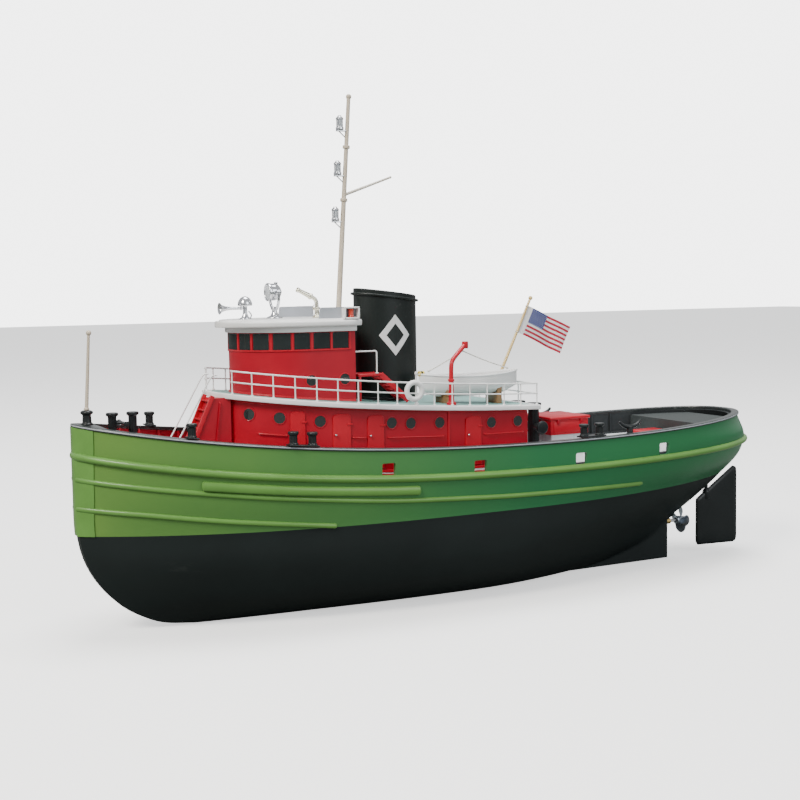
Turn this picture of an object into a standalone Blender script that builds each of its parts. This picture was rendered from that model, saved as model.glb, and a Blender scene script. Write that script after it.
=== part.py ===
"""Radio-controlled harbour tug: hull, running gear, radio gear and a lift-off cabin.

Axes: +X to the bow, +Y to port, +Z up. The origin is on the floor under the middle of the boat.
Dimensions are in millimetres and become metres when a mesh is made.
"""
import math

import bmesh
import bpy
import numpy as np
from mathutils import Matrix, Vector

MM = 0.001
GAP = 0.3                     # clearance between neighbouring solids

# ---- driving dimensions -------------------------------------------------------------
HALF_LENGTH = 218.0           # from amidships to the face of the stem
WATERLINE = 51.3
SHELL = 2.2                   # hull wall
FLOOR = 3.0                   # inner floor above the bottom
DEADWOOD = 3.0                # half thickness of stem face and skeg
SKEG_END = -149.5
COUNTER_FOOT = (-154.0, 26.0) # where the counter leaves the skeg
COUNTER_SLOPE = 1.59          # mm aft for each mm up
BULWARK = 13.0                # cap rail above the main deck
RAIL_THICK = 1.4              # cap rail
DECK_THICK = 1.8
POST_X = 211.0                # king post at the stem

SHAFT_Z = 22.4
SHAFT_R = 1.0
PROP_X = -162.5
PROP_R = 8.3
RUDDER_X = -183.0
SERVO_X = -128.0
ARM = 9.0                     # tiller and servo horn, hinge to pin
LINK_Z = 63.0                 # underside of tiller arm and servo horn

PILOT_AFT = 76.5
PILOT_NOSE = 134.8
PILOT_HALF = 28.0
ROOF_Z = 153.2
FUNNEL_X = 45.0
FUNNEL_HALF = (18.2, 12.5)
FUNNEL_TOP = 169.5
MAST_FOOT = (73.24, 0.0, 157.2)
MAST_HEAD = (64.6, 0.0, 274.0)
WELL = (-14.0, 108.0, 22.0)    # opening under the cabin: aft end, fore end, half width
HATCH = (-77.5, -57.5, 11.5)
LAZARETTE = (-146.5, -134.0, 7.5)
PLATFORM_X = -154.0          # fore edge of the raised platform at the stern
HOUSE = (145.5, -23.5, 39.6, 37.5)       # fore end, aft end, half width, the same aft
BOAT_DECK = (150.0, -29.5, 44.5, 42.0)
UNDER_DECK = 2.6             # boat deck thickness
RAIL_TOP = 11.8              # boat deck rail, above the deck
RAIL_MID = 6.2
GATE = {"port": 17.5, "starboard": 0.5}   # ends of the gap in the rail at the ladder, off the centreline
LADDER_Y = 10.5
LIFEBOAT = (6.0, 24.0, 31.0, 10.0)     # middle x, y, half length, half breadth
STAFF = ((-22.3, 0.0, 106.9), (-50.4, 0.0, 164.4))

# Lines plan. One row for each waterline from the bottom to the rail: share of the girth,
# half breadth, stem, end of the run, then the exponents (p, e) of the entrance and the run.
# Half breadth at x = DEADWOOD + (breadth - DEADWOOD) * (1 - |x / end| ** p) ** e.
LINES = np.array([
    [0.00, 13.0, 160.0, -72.0, 2.0, 0.85, 1.9, 0.95],
    [0.08, 22.0, 175.0, -92.0, 2.1, 1.00, 1.8, 1.05],
    [0.17, 31.5, 186.5, -112.0, 2.2, 1.05, 1.7, 1.10],
    [0.27, 41.0, 198.0, -134.0, 2.3, 1.05, 1.7, 1.10],
    [0.38, 48.0, 208.5, -152.0, 2.4, 1.00, 1.8, 1.05],
    [0.48, 51.3, 214.6, -173.0, 2.6, 0.95, 2.0, 0.95],
    [0.58, 53.0, 217.6, -192.5, 2.7, 0.92, 2.2, 0.85],
    [0.70, 55.6, 218.0, -204.6, 2.95, 0.80, 2.7, 0.68],
    [0.80, 56.6, 218.0, -204.5, 3.1, 0.74, 3.2, 0.56],
    [1.00, 57.0, 218.0, -196.8, 3.2, 0.71, 3.4, 0.52],
])
# Heights of the waterlines below WATERLINE, at the shares in the first column above.
LOW_HEIGHTS = np.array([0.0, 2.0, 6.5, 14.0, 26.0, 38.0, WATERLINE])


def hermite(knots, values, at):
    """Smooth curve through the knots, with the slope at each from its two neighbours."""
    slopes = np.gradient(values, knots)
    at = np.clip(at, knots[0], knots[-1])
    i = np.clip(np.searchsorted(knots, at, side="right") - 1, 0, len(knots) - 2)
    step = knots[i + 1] - knots[i]
    s = (at - knots[i]) / step
    return (values[i] * (1 + 2 * s) * (1 - s) ** 2 + values[i + 1] * s * s * (3 - 2 * s)
            + step * s * (1 - s) * (slopes[i] * (1 - s) - slopes[i + 1] * s))


def sheer(x):
    """Height of the top of the bulwark."""
    t = x / HALF_LENGTH
    return 86.0 + 4.0 * t + 12.5 * t ** 2 + 2.9 * t ** 3


def guard_height(x):
    t = x / HALF_LENGTH
    return 72.0 + 4.5 * t + 11.0 * t ** 2 + 3.8 * t ** 3


def deck_height(x):
    return sheer(x) - BULWARK


def boat_deck_height(x):
    """Top of the boat deck, which rises towards its front."""
    t = x + 25.0
    return 106.2 + 0.0355 * t + 0.00025 * t ** 2


def hull_height(x, share):
    """Height of a waterline: level below WATERLINE, then fanning out to guard and sheer."""
    low = hermite(LINES[:7, 0], LOW_HEIGHTS, share)
    guard, rail = guard_height(x), sheer(x)
    mid = WATERLINE + (guard - WATERLINE) * (share - LINES[6, 0]) / (LINES[8, 0] - LINES[6, 0])
    high = guard + (rail - guard) * (share - LINES[8, 0]) / (1 - LINES[8, 0])
    return np.where(share <= LINES[6, 0], low, np.where(share <= LINES[8, 0], mid, high))


def hull_breadth(x, share, inset=0.0, keel=DEADWOOD):
    """Half breadth of the hull at station x on a waterline."""
    _, wide, stem, run, p_f, e_f, p_a, e_a = (
        hermite(LINES[:, 0], column, share) for column in LINES.T)
    u = np.where(x > 0, x / (stem - inset), x / (run + inset * 2.5))
    u = np.clip(u, 0.0, 1.0)
    body = np.where(x > 0, (1 - u ** p_f) ** e_f, (1 - u ** p_a) ** e_a)
    return keel + (wide - inset - keel) * body


def hull_ends(share, inset=0.0):
    """Stem and stern of a waterline, the stern following the skeg and then the counter."""
    stem = hermite(LINES[:, 0], LINES[:, 2], share) - inset
    run = hermite(LINES[:, 0], LINES[:, 3], share)
    if inset:
        return run + inset * 2.5, stem
    return min(run, SKEG_END) if share < LINES[4, 0] else min(run, COUNTER_FOOT[0]), stem


def hull_point(x, share, inset=0.0, keel=DEADWOOD):
    y = hull_breadth(x, share, inset, keel)
    z = hull_height(x, np.full_like(x, share))
    return np.stack([x, y, z], axis=-1)


# ---- making objects -----------------------------------------------------------------
def start():
    for thing in list(bpy.data.objects):
        bpy.data.objects.remove(thing, do_unlink=True)
    made = []
    for name in ("harbour_tug", "cutters"):
        group = bpy.data.collections.new(name)
        bpy.context.scene.collection.children.link(group)
        made.append(group)
    return made


PARTS, CUTTERS = start()


def paint(name, colour, roughness=0.5, metallic=0.0):
    material = bpy.data.materials.new(name)
    material.use_nodes = True
    shader = material.node_tree.nodes["Principled BSDF"]
    shader.inputs["Base Color"].default_value = (*colour, 1.0)
    shader.inputs["Roughness"].default_value = roughness
    shader.inputs["Metallic"].default_value = metallic
    return material


GREEN = (0.10, 0.26, 0.07)
BLACK = (0.015, 0.017, 0.018)
RED = (0.50, 0.02, 0.03)
WHITE = (0.80, 0.80, 0.78)
WOOD = (0.62, 0.42, 0.20)
STEEL = (0.60, 0.60, 0.62)
BRASS = (0.70, 0.52, 0.25)
GREY = (0.35, 0.37, 0.40)


def place(name, mesh, colour, roughness=0.5, metallic=0.0, origin=(0, 0, 0)):
    """Put a mesh made in world millimetres into the part, its origin on a joint's axis."""
    mesh.transform(Matrix.Translation(-Vector(origin)))
    mesh.transform(Matrix.Scale(MM, 4))
    thing = bpy.data.objects.new(name, mesh)
    thing.location = Vector(origin) * MM
    PARTS.objects.link(thing)
    mesh.materials.append(paint(name, colour, roughness, metallic))
    mesh.shade_smooth()
    mesh.set_sharp_from_angle(angle=math.radians(35))
    return thing


def finish_mesh(name, bm):
    mesh = bpy.data.meshes.new(name)
    bmesh.ops.remove_doubles(bm, verts=bm.verts, dist=0.01)
    bmesh.ops.recalc_face_normals(bm, faces=bm.faces)
    bm.to_mesh(mesh)
    bm.free()
    return mesh


def box_mesh(low, high, bevel=0.0):
    bm = bmesh.new()
    low, high = Vector(low), Vector(high)
    size = Matrix.Diagonal((*(high - low), 1.0))
    bmesh.ops.create_cube(bm, size=1.0, matrix=Matrix.Translation((low + high) / 2) @ size)
    if bevel:
        bmesh.ops.bevel(bm, geom=bm.edges, offset=bevel, segments=1, affect="EDGES", profile=0.5)
    return finish_mesh("box", bm)


def drum_mesh(start_at, end_at, radius, end_radius=None, sides=16):
    """Cylinder or cone between two points."""
    start_at, end_at = Vector(start_at), Vector(end_at)
    along = end_at - start_at
    turn = along.to_track_quat("Z", "Y").to_matrix().to_4x4()
    bm = bmesh.new()
    bmesh.ops.create_cone(
        bm, cap_ends=True, segments=sides, radius1=radius,
        radius2=radius if end_radius is None else end_radius, depth=along.length,
        matrix=Matrix.Translation((start_at + end_at) / 2) @ turn)
    return finish_mesh("drum", bm)


def turned_mesh(profile, foot=(0, 0, 0), axis=(0, 0, 1), sides=16):
    """Closed profile of (radius, height) points turned about an axis through foot."""
    bm = bmesh.new()
    points = [bm.verts.new((r, 0, h)) for r, h in profile]
    edges = [bm.edges.new((a, b)) for a, b in zip(points, points[1:] + points[:1])
             if a.co.x > 0 or b.co.x > 0]
    bmesh.ops.spin(bm, geom=points + edges, cent=(0, 0, 0), axis=(0, 0, 1),
                   angle=2 * math.pi, steps=sides, use_merge=True)
    upright = Vector(axis).to_track_quat("Z", "Y").to_matrix().to_4x4()
    bm.transform(Matrix.Translation(foot) @ upright)
    bmesh.ops.remove_doubles(bm, verts=bm.verts, dist=0.001)
    bmesh.ops.dissolve_degenerate(bm, edges=bm.edges, dist=0.001)
    return finish_mesh("turned", bm)


def tube_mesh(points, radius, sides=8):
    """Wire along points: a polyline curve with round section, its caps welded."""
    curve = bpy.data.curves.new("wire", "CURVE")
    curve.dimensions = "3D"
    curve.bevel_depth = radius
    curve.bevel_resolution = sides // 2 - 2
    curve.use_fill_caps = True
    spline = curve.splines.new("POLY")
    spline.points.add(len(points) - 1)
    for point, at in zip(spline.points, points):
        point.co = (*at, 1.0)
    thing = bpy.data.objects.new("wire", curve)
    CUTTERS.objects.link(thing)
    bpy.context.view_layer.update()
    evaluated = thing.evaluated_get(bpy.context.evaluated_depsgraph_get())
    mesh = bpy.data.meshes.new_from_object(evaluated)
    bpy.data.objects.remove(thing)
    bpy.data.curves.remove(curve)
    bm = bmesh.new()
    bm.from_mesh(mesh)
    bpy.data.meshes.remove(mesh)
    return finish_mesh("wire", bm)


def loops_mesh(loops, closed=True, caps=True):
    """Skin over a row of equal loops; caps=True closes the two ends, closed joins each loop."""
    bm = bmesh.new()
    rows = [[bm.verts.new(tuple(point)) for point in loop] for loop in loops]
    count = len(rows[0])
    for near, far in zip(rows, rows[1:]):
        for j in range(count if closed else count - 1):
            n = (j + 1) % count
            corners = [near[j], far[j], far[n], near[n]]
            bm.faces.new(corners)
    if caps:
        for row in (rows[0], rows[-1]):
            for j in range(count // 2 - 1):
                bm.faces.new((row[j], row[j + 1], row[count - 2 - j], row[count - 1 - j]))
    return finish_mesh("skin", bm)


def ring_mesh(outer_low, outer_high, inner_high, inner_low):
    """Closed band from four closed outlines of equal count, going round."""
    loops = [list(ring) for ring in zip(outer_low, outer_high, inner_high, inner_low)]
    loops.append(loops[0])
    return loops_mesh(loops, caps=False)


def helper(mesh, name="tool"):
    """Hidden object that a Boolean reads."""
    mesh.transform(Matrix.Scale(MM, 4))
    thing = bpy.data.objects.new(name, mesh)
    thing.hide_render = True
    thing.display_type = "WIRE"
    CUTTERS.objects.link(thing)
    return thing


def combine(thing, meshes, operation):
    for mesh in meshes:
        step = thing.modifiers.new(operation.lower(), "BOOLEAN")
        step.operation = operation
        step.object = helper(mesh)
    return thing


def cut(thing, *meshes):
    return combine(thing, meshes, "DIFFERENCE")


def fuse(name, meshes, colour, roughness=0.5, metallic=0.0, origin=(0, 0, 0)):
    """One solid from overlapping meshes."""
    thing = place(name, meshes[0], colour, roughness, metallic, origin)
    return combine(thing, meshes[1:], "UNION")


# ---- outlines -----------------------------------------------------------------------
def both_sides(half):
    """Closed outline from a port half that runs from bow to stern on or off the centreline."""
    mirrored = [(x, -y, z) for x, y, z in reversed(half)]
    if abs(half[0][1]) < 1e-6:
        mirrored = mirrored[:-1]
    if abs(half[-1][1]) < 1e-6:
        mirrored = mirrored[1:]
    return list(half) + mirrored


def stations(low, high, count):
    """Values from high to low, close together at both ends."""
    s = (1 - np.cos(np.linspace(0, math.pi, count))) / 2
    return high + (low - high) * s


def hull_outline(share, outset, count=28, raise_by=0.0):
    """Outline of the hull on a waterline, moved out along its own normal, less at the stem."""
    aft, stem = hull_ends(share)
    x = stations(aft, stem, count)
    y = hull_breadth(x, share)
    y[-1] = 0.0
    y[0] = DEADWOOD
    dx, dy = np.gradient(x), np.gradient(y)
    length = np.hypot(dx, dy)
    nx, ny = -dy / length, dx / length
    flip = np.where(ny < 0, -1.0, 1.0)
    nx, ny = nx * flip, ny * flip
    nx[-1], ny[-1] = -1.0, 0.0
    nx[0] = 0.5  # the last station leans aft by half, which closes the round of the stern
    z = hull_height(x, np.full_like(x, share)) + raise_by
    half = np.stack([x + nx * outset, np.maximum(y + ny * outset, 0.0), z], axis=1)
    return both_sides([tuple(point) for point in half])


def house_half(x_front, x_aft, half, aft_half, power=3.0, end=0.55, count=16, straight=7):
    """Port half of a deckhouse: flat side, round front, from the nose aft."""
    x_wide = x_aft + (x_front - x_aft) * 0.45
    x = np.concatenate([stations(x_wide, x_front, count), np.linspace(x_wide, x_aft, straight)[1:]])
    u = np.clip((x - x_wide) / (x_front - x_wide), 0, 1)
    taper = half + (aft_half - half) * np.clip((x_wide - x) / (x_wide - x_aft), 0, 1) ** 2
    return x, taper * (1 - u ** power) ** end


def outline_at(x, y, height):
    """Closed outline in plan, at heights given by a function of x or a number."""
    z = height(x) if callable(height) else np.full_like(x, height)
    return both_sides([tuple(point) for point in np.stack([x, y, z], axis=1)])


def slab_mesh(x, y, low, high):
    """Solid plate over a plan, one section for each station of the port half."""
    floor = low(x) if callable(low) else np.full_like(x, low)
    top = high(x) if callable(high) else np.full_like(x, high)
    y = np.maximum(y, 0.4)
    loops = [[(a, -b, c), (a, b, c), (a, b, d), (a, -b, d)] for a, b, c, d in zip(x, y, floor, top)]
    return loops_mesh(loops)


# ---- hull and fixed parts -------------------------------------------------------------
def hull_solid(inset=0.0, columns=32, rows=11, keel=DEADWOOD, over=0.0, floor=0.0):
    """Solid body of the hull, or of the space inside it when inset is set."""
    shares = np.linspace(0, 1, rows) if not inset else np.linspace(0.08, 1, rows)
    loops = []
    spread = (1 - np.cos(np.linspace(0, math.pi, columns))) / 2
    spread = 0.35 * spread + 0.65 * np.linspace(0, 1, columns)
    sections = np.zeros((columns, rows, 3))
    for k, share in enumerate(shares):
        aft, stem = hull_ends(share, inset)
        x = stem + (aft - stem) * spread
        sections[:, k] = hull_point(x, share, inset, keel)
    sections[:, :, 2] = np.maximum(sections[:, :, 2], floor)
    sections[:, -1, 2] += over
    for section in sections:
        port = [tuple(point) for point in section]
        loops.append(port + [(x, -y, z) for x, y, z in reversed(port)])
    return loops_mesh(loops)


def along_x(radius, low, high, sides=16, y=0.0, z=SHAFT_Z):
    return drum_mesh((low, y, z), (high, y, z), radius, sides=sides)


def make_hull():
    hull = place("hull_shell", hull_solid(), GREEN, 0.45)
    cut(hull, hull_solid(inset=SHELL, columns=26, rows=7, keel=0.8, over=6.0, floor=FLOOR))
    cut(hull, along_x(2.1, COUNTER_FOOT[0] - 2, -100.0))
    cut(hull, drum_mesh((RUDDER_X, 0, 38), (RUDDER_X, 0, 62), 2.5))
    for x in (71.8, 18.3, -46.3, -106.2):
        low = deck_height(x) + 0.4
        cut(hull, box_mesh((x - 3.7, -70, low), (x + 3.7, 70, low + 6.6)))
    return hull


def make_guard():
    share = LINES[8, 0]
    inner = hull_outline(share, GAP + 0.5)
    outer = hull_outline(share, 2.6)
    ring = ring_mesh([(x, y, z - 1.5) for x, y, z in outer], [(x, y, z + 1.5) for x, y, z in outer],
                     [(x, y, z + 2.0) for x, y, z in inner], [(x, y, z - 2.0) for x, y, z in inner])
    place("main_guard", ring, GREEN, 0.4)


def make_cap_rail():
    """Flat rail on top of the bulwark, with a plate across it at the stem."""
    outer = hull_outline(1.0, 1.0, raise_by=GAP)
    inner = hull_outline(1.0, -3.6, raise_by=GAP)
    ring = ring_mesh(outer, [(x, y, z + RAIL_THICK) for x, y, z in outer],
                     [(x, y, z + RAIL_THICK) for x, y, z in inner], inner)
    x = np.linspace(POST_X + 4.0, POST_X - 7.0, 5)
    plate = slab_mesh(x, hull_breadth(x, 1.0) - 1.5, lambda s: sheer(s) + GAP + 0.1,
                      lambda s: sheer(s) + GAP + RAIL_THICK)
    fuse("bulwark_cap_rail", [ring, plate], BLACK, 0.4)


def deck_breadth(x, drop):
    """Half breadth inside the bulwark at a given distance below its top."""
    rail, guard = sheer(x), guard_height(x)
    share = 1 - (1 - LINES[8, 0]) * drop / (rail - guard)
    share = np.clip(share, LINES[6, 0], 1.0)
    y = np.array([float(hull_breadth(a, s, SHELL, 0.8)) for a, s in zip(x, share)])
    margin = GAP + 0.4 + 1.6 * (np.abs(x) / 200) ** 3
    return np.maximum(y - margin, 0.5)


def coaming_mesh(hole, height, wall=1.6):
    aft, fore, half = hole
    outer = half + wall
    corners = [(fore + wall, outer), (aft - wall, outer), (aft - wall, -outer), (fore + wall, -outer)]
    holes = [(fore, half), (aft, half), (aft, -half), (fore, -half)]
    level = float(np.min(deck_height(np.array([fore, aft])))) - DECK_THICK
    return ring_mesh([(a, b, level) for a, b in corners], [(a, b, height) for a, b in corners],
                     [(a, b, height) for a, b in holes], [(a, b, level) for a, b in holes])


def make_decks():
    x = stations(-184.0, 211.0, 26)
    y = deck_breadth(x, BULWARK + DECK_THICK)
    deck = place("main_deck", slab_mesh(x, y, lambda s: deck_height(s) - DECK_THICK, deck_height),
                 (0.62, 0.66, 0.68), 0.5)
    combine(deck, [coaming_mesh(WELL, 95.5), coaming_mesh(HATCH, 90.0), coaming_mesh(LAZARETTE, 77.5)],
            "UNION")
    for aft, fore, half in (WELL, HATCH, LAZARETTE):
        cut(deck, box_mesh((aft, -half, 50), (fore, half, 120)))
    x = stations(-184.5, PLATFORM_X, 10)
    y = deck_breadth(x, 4.5)
    drop = 1.8  # platform below the sheer
    fantail = slab_mesh(x, y, lambda s: sheer(s) - drop - 1.6, lambda s: sheer(s) - drop)
    face_y = float(y[0])
    panel = box_mesh((PLATFORM_X, -face_y, float(deck_height(PLATFORM_X)) + GAP),
                     (PLATFORM_X + 1.5, face_y, float(sheer(PLATFORM_X)) - drop))
    fuse("fantail_deck", [panel, fantail], (0.10, 0.11, 0.12), 0.55)


def post_profile(foot, top, r=2.0, cap=3.1):
    """Bollard: flanged foot, waisted post, flared cap with a low crown."""
    return [(0.0, foot), (cap, foot), (cap, foot + 0.8), (r, foot + 1.6), (r, top - 2.2),
            (cap, top - 1.5), (cap, top - 0.6), (cap * 0.7, top), (0.0, top)]


def rail_bollards(name, middle, y, shifts, tall):
    """Posts on a pad that lies on the cap rail and follows its slope."""
    base = float(sheer(middle)) + RAIL_THICK + 2.7 * GAP
    slope = float(sheer(middle + 8) - sheer(middle - 8)) / 16
    reach = max(shifts) + 3.6
    pad = box_mesh((middle - reach, y - 3.2, base), (middle + reach, y + 3.2, base + 1.0))
    posts = [turned_mesh(post_profile(base + 0.4, base + tall, 1.9, 2.7), (middle + shift, y, 0), sides=10)
             for shift in shifts]
    bollards = fuse(name, [pad] + posts, BLACK, 0.5, origin=(middle, y, base))
    bollards.rotation_euler = (0, -math.atan(slope), 0)


def make_bollards():
    for side, sign in (("port", 1), ("starboard", -1)):
        rail_bollards(f"bollard_fore_{side}", 169.0, 36.4 * sign, (0.0,), 7.4)
        rail_bollards(f"bollards_mid_{side}", 116.7, 50.6 * sign, (-5.1, 5.1), 7.2)
        rail_bollards(f"bollards_aft_{side}", -55.3, 53.6 * sign, (-5.2, 5.2), 7.2)
        make_cleat(side, sign)
    foot = float(sheer(POST_X)) + RAIL_THICK + 3.2 * GAP
    place("king_post", turned_mesh(post_profile(foot, 113.4, 2.1), (POST_X, 0, 0)), BLACK, 0.5)
    lean = Vector((-2.4, 0, 38.0))
    foot = Vector((POST_X, 0, 113.7))
    fuse("jackstaff", [drum_mesh(foot, foot + lean, 0.9, 0.75, 10), ball_mesh(foot + lean, 1.35)], WOOD, 0.5)
    posts = [turned_mesh(post_profile(float(deck_height(a)) + 0.8, 111.5, 2.1), (a, 0, 0), sides=12)
             for a in (198.4, 188.0)]
    bar = drum_mesh((193.2, -7.5, 106.0), (193.2, 7.5, 106.0), 1.0, sides=8)
    web = box_mesh((188.0, -0.7, 105.4), (198.4, 0.7, 106.6))
    fuse("bow_bitt", posts + [web, bar], BLACK, 0.5)


def ball_mesh(centre, radius):
    bm = bmesh.new()
    bmesh.ops.create_uvsphere(bm, u_segments=10, v_segments=6, radius=radius,
                              matrix=Matrix.Translation(centre))
    return finish_mesh("ball", bm)


def make_cleat(side, sign):
    """Horn cleat on a post inside the bulwark, its horns bowed fore and aft."""
    x, y = -87.4, 46.0 * sign
    foot = float(deck_height(x)) + GAP
    top = float(sheer(x)) + 4.5
    stem = turned_mesh([(0, foot), (2.6, foot), (1.9, foot + 1), (1.9, top), (0, top)], (x, y, 0), sides=10)
    angles = np.linspace(-0.9, 0.9, 9)
    horn = tube_mesh([(x + 9.0 * math.sin(a), y, top + 8.0 * (1 - math.cos(a)) - 0.4) for a in angles], 1.2)
    fuse(f"cleat_{side}", [stem, horn], BLACK, 0.5)


def make_tow_bitt():
    """Two heavy posts joined by a cross bar, behind the cabin."""
    x = -46.5
    foot = float(deck_height(x)) + GAP
    profile = [(0, foot), (4.6, foot), (4.6, foot + 1.4), (3.2, foot + 2.2), (3.2, 99.5),
               (4.6, 101.2), (4.6, 103.0), (0, 103.8)]
    posts = [turned_mesh(profile, (x, y, 0), sides=12) for y in (8.5, -8.5)]
    plate = box_mesh((x - 5.2, -13.5, foot + 0.1), (x + 5.2, 13.5, foot + 1.2))
    bar = turned_mesh([(0, -18.5), (3.9, -18.5), (3.9, -17.1), (2.3, -16.5), (2.3, 16.5), (3.9, 17.1),
                       (3.9, 18.5), (0, 18.5)], (x, 0, 90.0), (0, 1, 0), 12)
    fuse("tow_bitt", [plate] + posts + [bar], BLACK, 0.5)


# ---- running gear ---------------------------------------------------------------------
def make_drive():
    can = [(0, -9.0), (SHAFT_R, -9.0), (SHAFT_R, -3.0), (3.0, -3.0), (3.0, 0), (11.5, 0), (11.5, 30),
           (4.0, 30), (4.0, 32), (0, 32)]
    place("motor", turned_mesh(can, (-60.0, 0, SHAFT_Z), (1, 0, 0), 24), STEEL, 0.3, 0.9)
    plate = box_mesh((-63.3, -9, FLOOR + GAP), (-60.3, 9, 36.5))
    foot = box_mesh((-63.3, -9, FLOOR + GAP), (-46.0, 9, FLOOR + 3))
    mount = fuse("motor_mount", [plate, foot], (0.05, 0.05, 0.06), 0.6)
    cut(mount, along_x(3.3, -70, -55))
    joint = [(SHAFT_R + GAP, 0), (4.0, 0), (4.0, 12), (SHAFT_R + GAP, 12)]
    coupling = turned_mesh(joint, (-79.0, 0, SHAFT_Z), (1, 0, 0))
    place("shaft_coupling", coupling, BRASS, 0.3, 0.9, origin=(-79.0, 0, SHAFT_Z))
    place("prop_shaft", along_x(SHAFT_R, PROP_X - 5.5, -74.0, 12), STEEL, 0.25, 1.0,
          origin=(PROP_X, 0, SHAFT_Z))
    tube = [(SHAFT_R + GAP, 0), (1.8, 0), (1.8, 68), (SHAFT_R + GAP, 68)]
    place("stern_tube", turned_mesh(tube, (-153.5, 0, SHAFT_Z), (1, 0, 0)), BRASS, 0.35, 0.9)
    make_propeller()


def make_propeller():
    """Four broad blades on a tapered hub with a bore for the shaft."""
    hub = turned_mesh([(SHAFT_R + GAP, -4.6), (1.8, -4.6), (2.7, 3.6), (2.7, 4.2), (SHAFT_R + GAP, 4.2)],
                      (PROP_X, 0, SHAFT_Z), (1, 0, 0))
    blades = []
    for quarter in range(4):
        bm = bmesh.new()
        rows = []
        for r, chord in ((2.0, 1.7), (4.2, 3.3), (6.6, 3.6), (PROP_R, 1.6)):
            pitch = math.atan2(11.0, 2 * math.pi * r)
            ahead = Vector((math.sin(pitch), math.cos(pitch), 0))
            face = Vector((math.cos(pitch), -math.sin(pitch), 0)) * 0.45
            up = Vector((0, 0, r))
            rows.append([bm.verts.new(up + p) for p in
                         (-ahead * chord - face, ahead * chord - face, ahead * chord + face,
                          -ahead * chord + face)])
        for near, far in zip(rows, rows[1:]):
            for j in range(4):
                bm.faces.new((near[j], far[j], far[(j + 1) % 4], near[(j + 1) % 4]))
        bm.faces.new(rows[0])
        bm.faces.new(rows[-1])
        turn = Matrix.Rotation(quarter * math.pi / 2, 4, "X")
        bm.transform(Matrix.Translation((PROP_X, 0, SHAFT_Z)) @ turn)
        blades.append(finish_mesh("blade", bm))
    fuse("propeller", [hub] + blades, (0.45, 0.47, 0.48), 0.35, 0.6, origin=(PROP_X, 0, SHAFT_Z))


def counter_line(x):
    """Height of the underside of the counter on the centreline."""
    return COUNTER_FOOT[1] + (COUNTER_FOOT[0] - x) / COUNTER_SLOPE


def make_rudder():
    """Blade that follows the counter, its stock through the hull and a tiller arm on top."""
    outline = [(-175.0, 7.5), (-176.5, 5.5), (-205.0, 3.6), (-208.0, 6.0), (-207.6, 52.0),
               (-205.0, counter_line(-205.0) - 4.5), (-175.0, counter_line(-175.0) - 4.5)]
    thick = 1.5
    loops = [[(x, s * thick, z) for x, z in outline] for s in (-1, 1)]
    bm = bmesh.new()
    faces = [[bm.verts.new(p) for p in loop] for loop in loops]
    for j in range(len(outline)):
        n = (j + 1) % len(outline)
        bm.faces.new((faces[0][j], faces[1][j], faces[1][n], faces[0][n]))
    bm.faces.new(faces[0])
    bm.faces.new(faces[1])
    stock = drum_mesh((RUDDER_X, 0, 20), (RUDDER_X, 0, 68.0), 1.2, sides=12)
    axis = (RUDDER_X, 0, LINK_Z)
    fuse("rudder", [finish_mesh("blade", bm), stock], BLACK, 0.45, origin=axis)
    tube = [(1.2 + GAP, 46.5), (2.2, 46.5), (2.2, 62.0), (1.2 + GAP, 62.0)]
    place("rudder_tube", turned_mesh(tube, (RUDDER_X, 0, 0)), BRASS, 0.35, 0.9)
    arm = fuse("tiller_arm", [drum_mesh((RUDDER_X, 0, LINK_Z), (RUDDER_X, 0, LINK_Z + 3.5), 3.4),
                              arm_mesh(RUDDER_X)], STEEL, 0.35, 0.9, origin=axis)
    cut(arm, drum_mesh((RUDDER_X, 0, 55), (RUDDER_X, 0, 70), 1.2 + GAP, sides=12),
        drum_mesh((RUDDER_X, ARM, 55), (RUDDER_X, ARM, 70), 1.1, sides=12))


def arm_mesh(x):
    """Flat arm to port with a rounded end, from the hinge to past its pin."""
    angles = np.linspace(0, math.pi, 7)
    edge = [(x + 2.4 * math.cos(a), ARM + 2.4 * math.sin(a)) for a in angles]
    edge += [(x - 2.4, 0.0), (x + 2.4, 0.0)]
    bm = bmesh.new()
    face = bm.faces.new([bm.verts.new((a, b, LINK_Z)) for a, b in edge])
    grown = bmesh.ops.extrude_face_region(bm, geom=[face])
    moved = [v for v in grown["geom"] if isinstance(v, bmesh.types.BMVert)]
    bmesh.ops.translate(bm, verts=moved, vec=(0, 0, 1.6))
    return finish_mesh("arm", bm)


def make_steering():
    body = box_mesh((SERVO_X - 14, -6, 34.0), (SERVO_X + 8, 6, 57.0), 0.6)
    lugs = box_mesh((SERVO_X - 19, -6, 50.0), (SERVO_X + 13, 6, 52.0))
    boss = drum_mesh((SERVO_X, 0, 56.5), (SERVO_X, 0, LINK_Z - GAP), 3.0)
    fuse("servo", [body, lugs, boss], (0.03, 0.03, 0.035), 0.45)
    axis = (SERVO_X, 0, LINK_Z)
    horn = fuse("servo_horn", [drum_mesh((SERVO_X, 0, LINK_Z), (SERVO_X, 0, LINK_Z + 2.6), 3.6),
                               arm_mesh(SERVO_X)], WHITE, 0.4, origin=axis)
    cut(horn, drum_mesh((SERVO_X, ARM, 55), (SERVO_X, ARM, 70), 0.5 + GAP, sides=12))
    top = LINK_Z + 2.9
    rod = tube_mesh([(SERVO_X, ARM, LINK_Z + 0.2), (SERVO_X, ARM, top), (RUDDER_X, ARM, top),
                     (RUDDER_X, ARM, LINK_Z + 0.2)], 0.5)
    place("pushrod", rod, STEEL, 0.3, 1.0, origin=(SERVO_X, ARM, LINK_Z))


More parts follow.
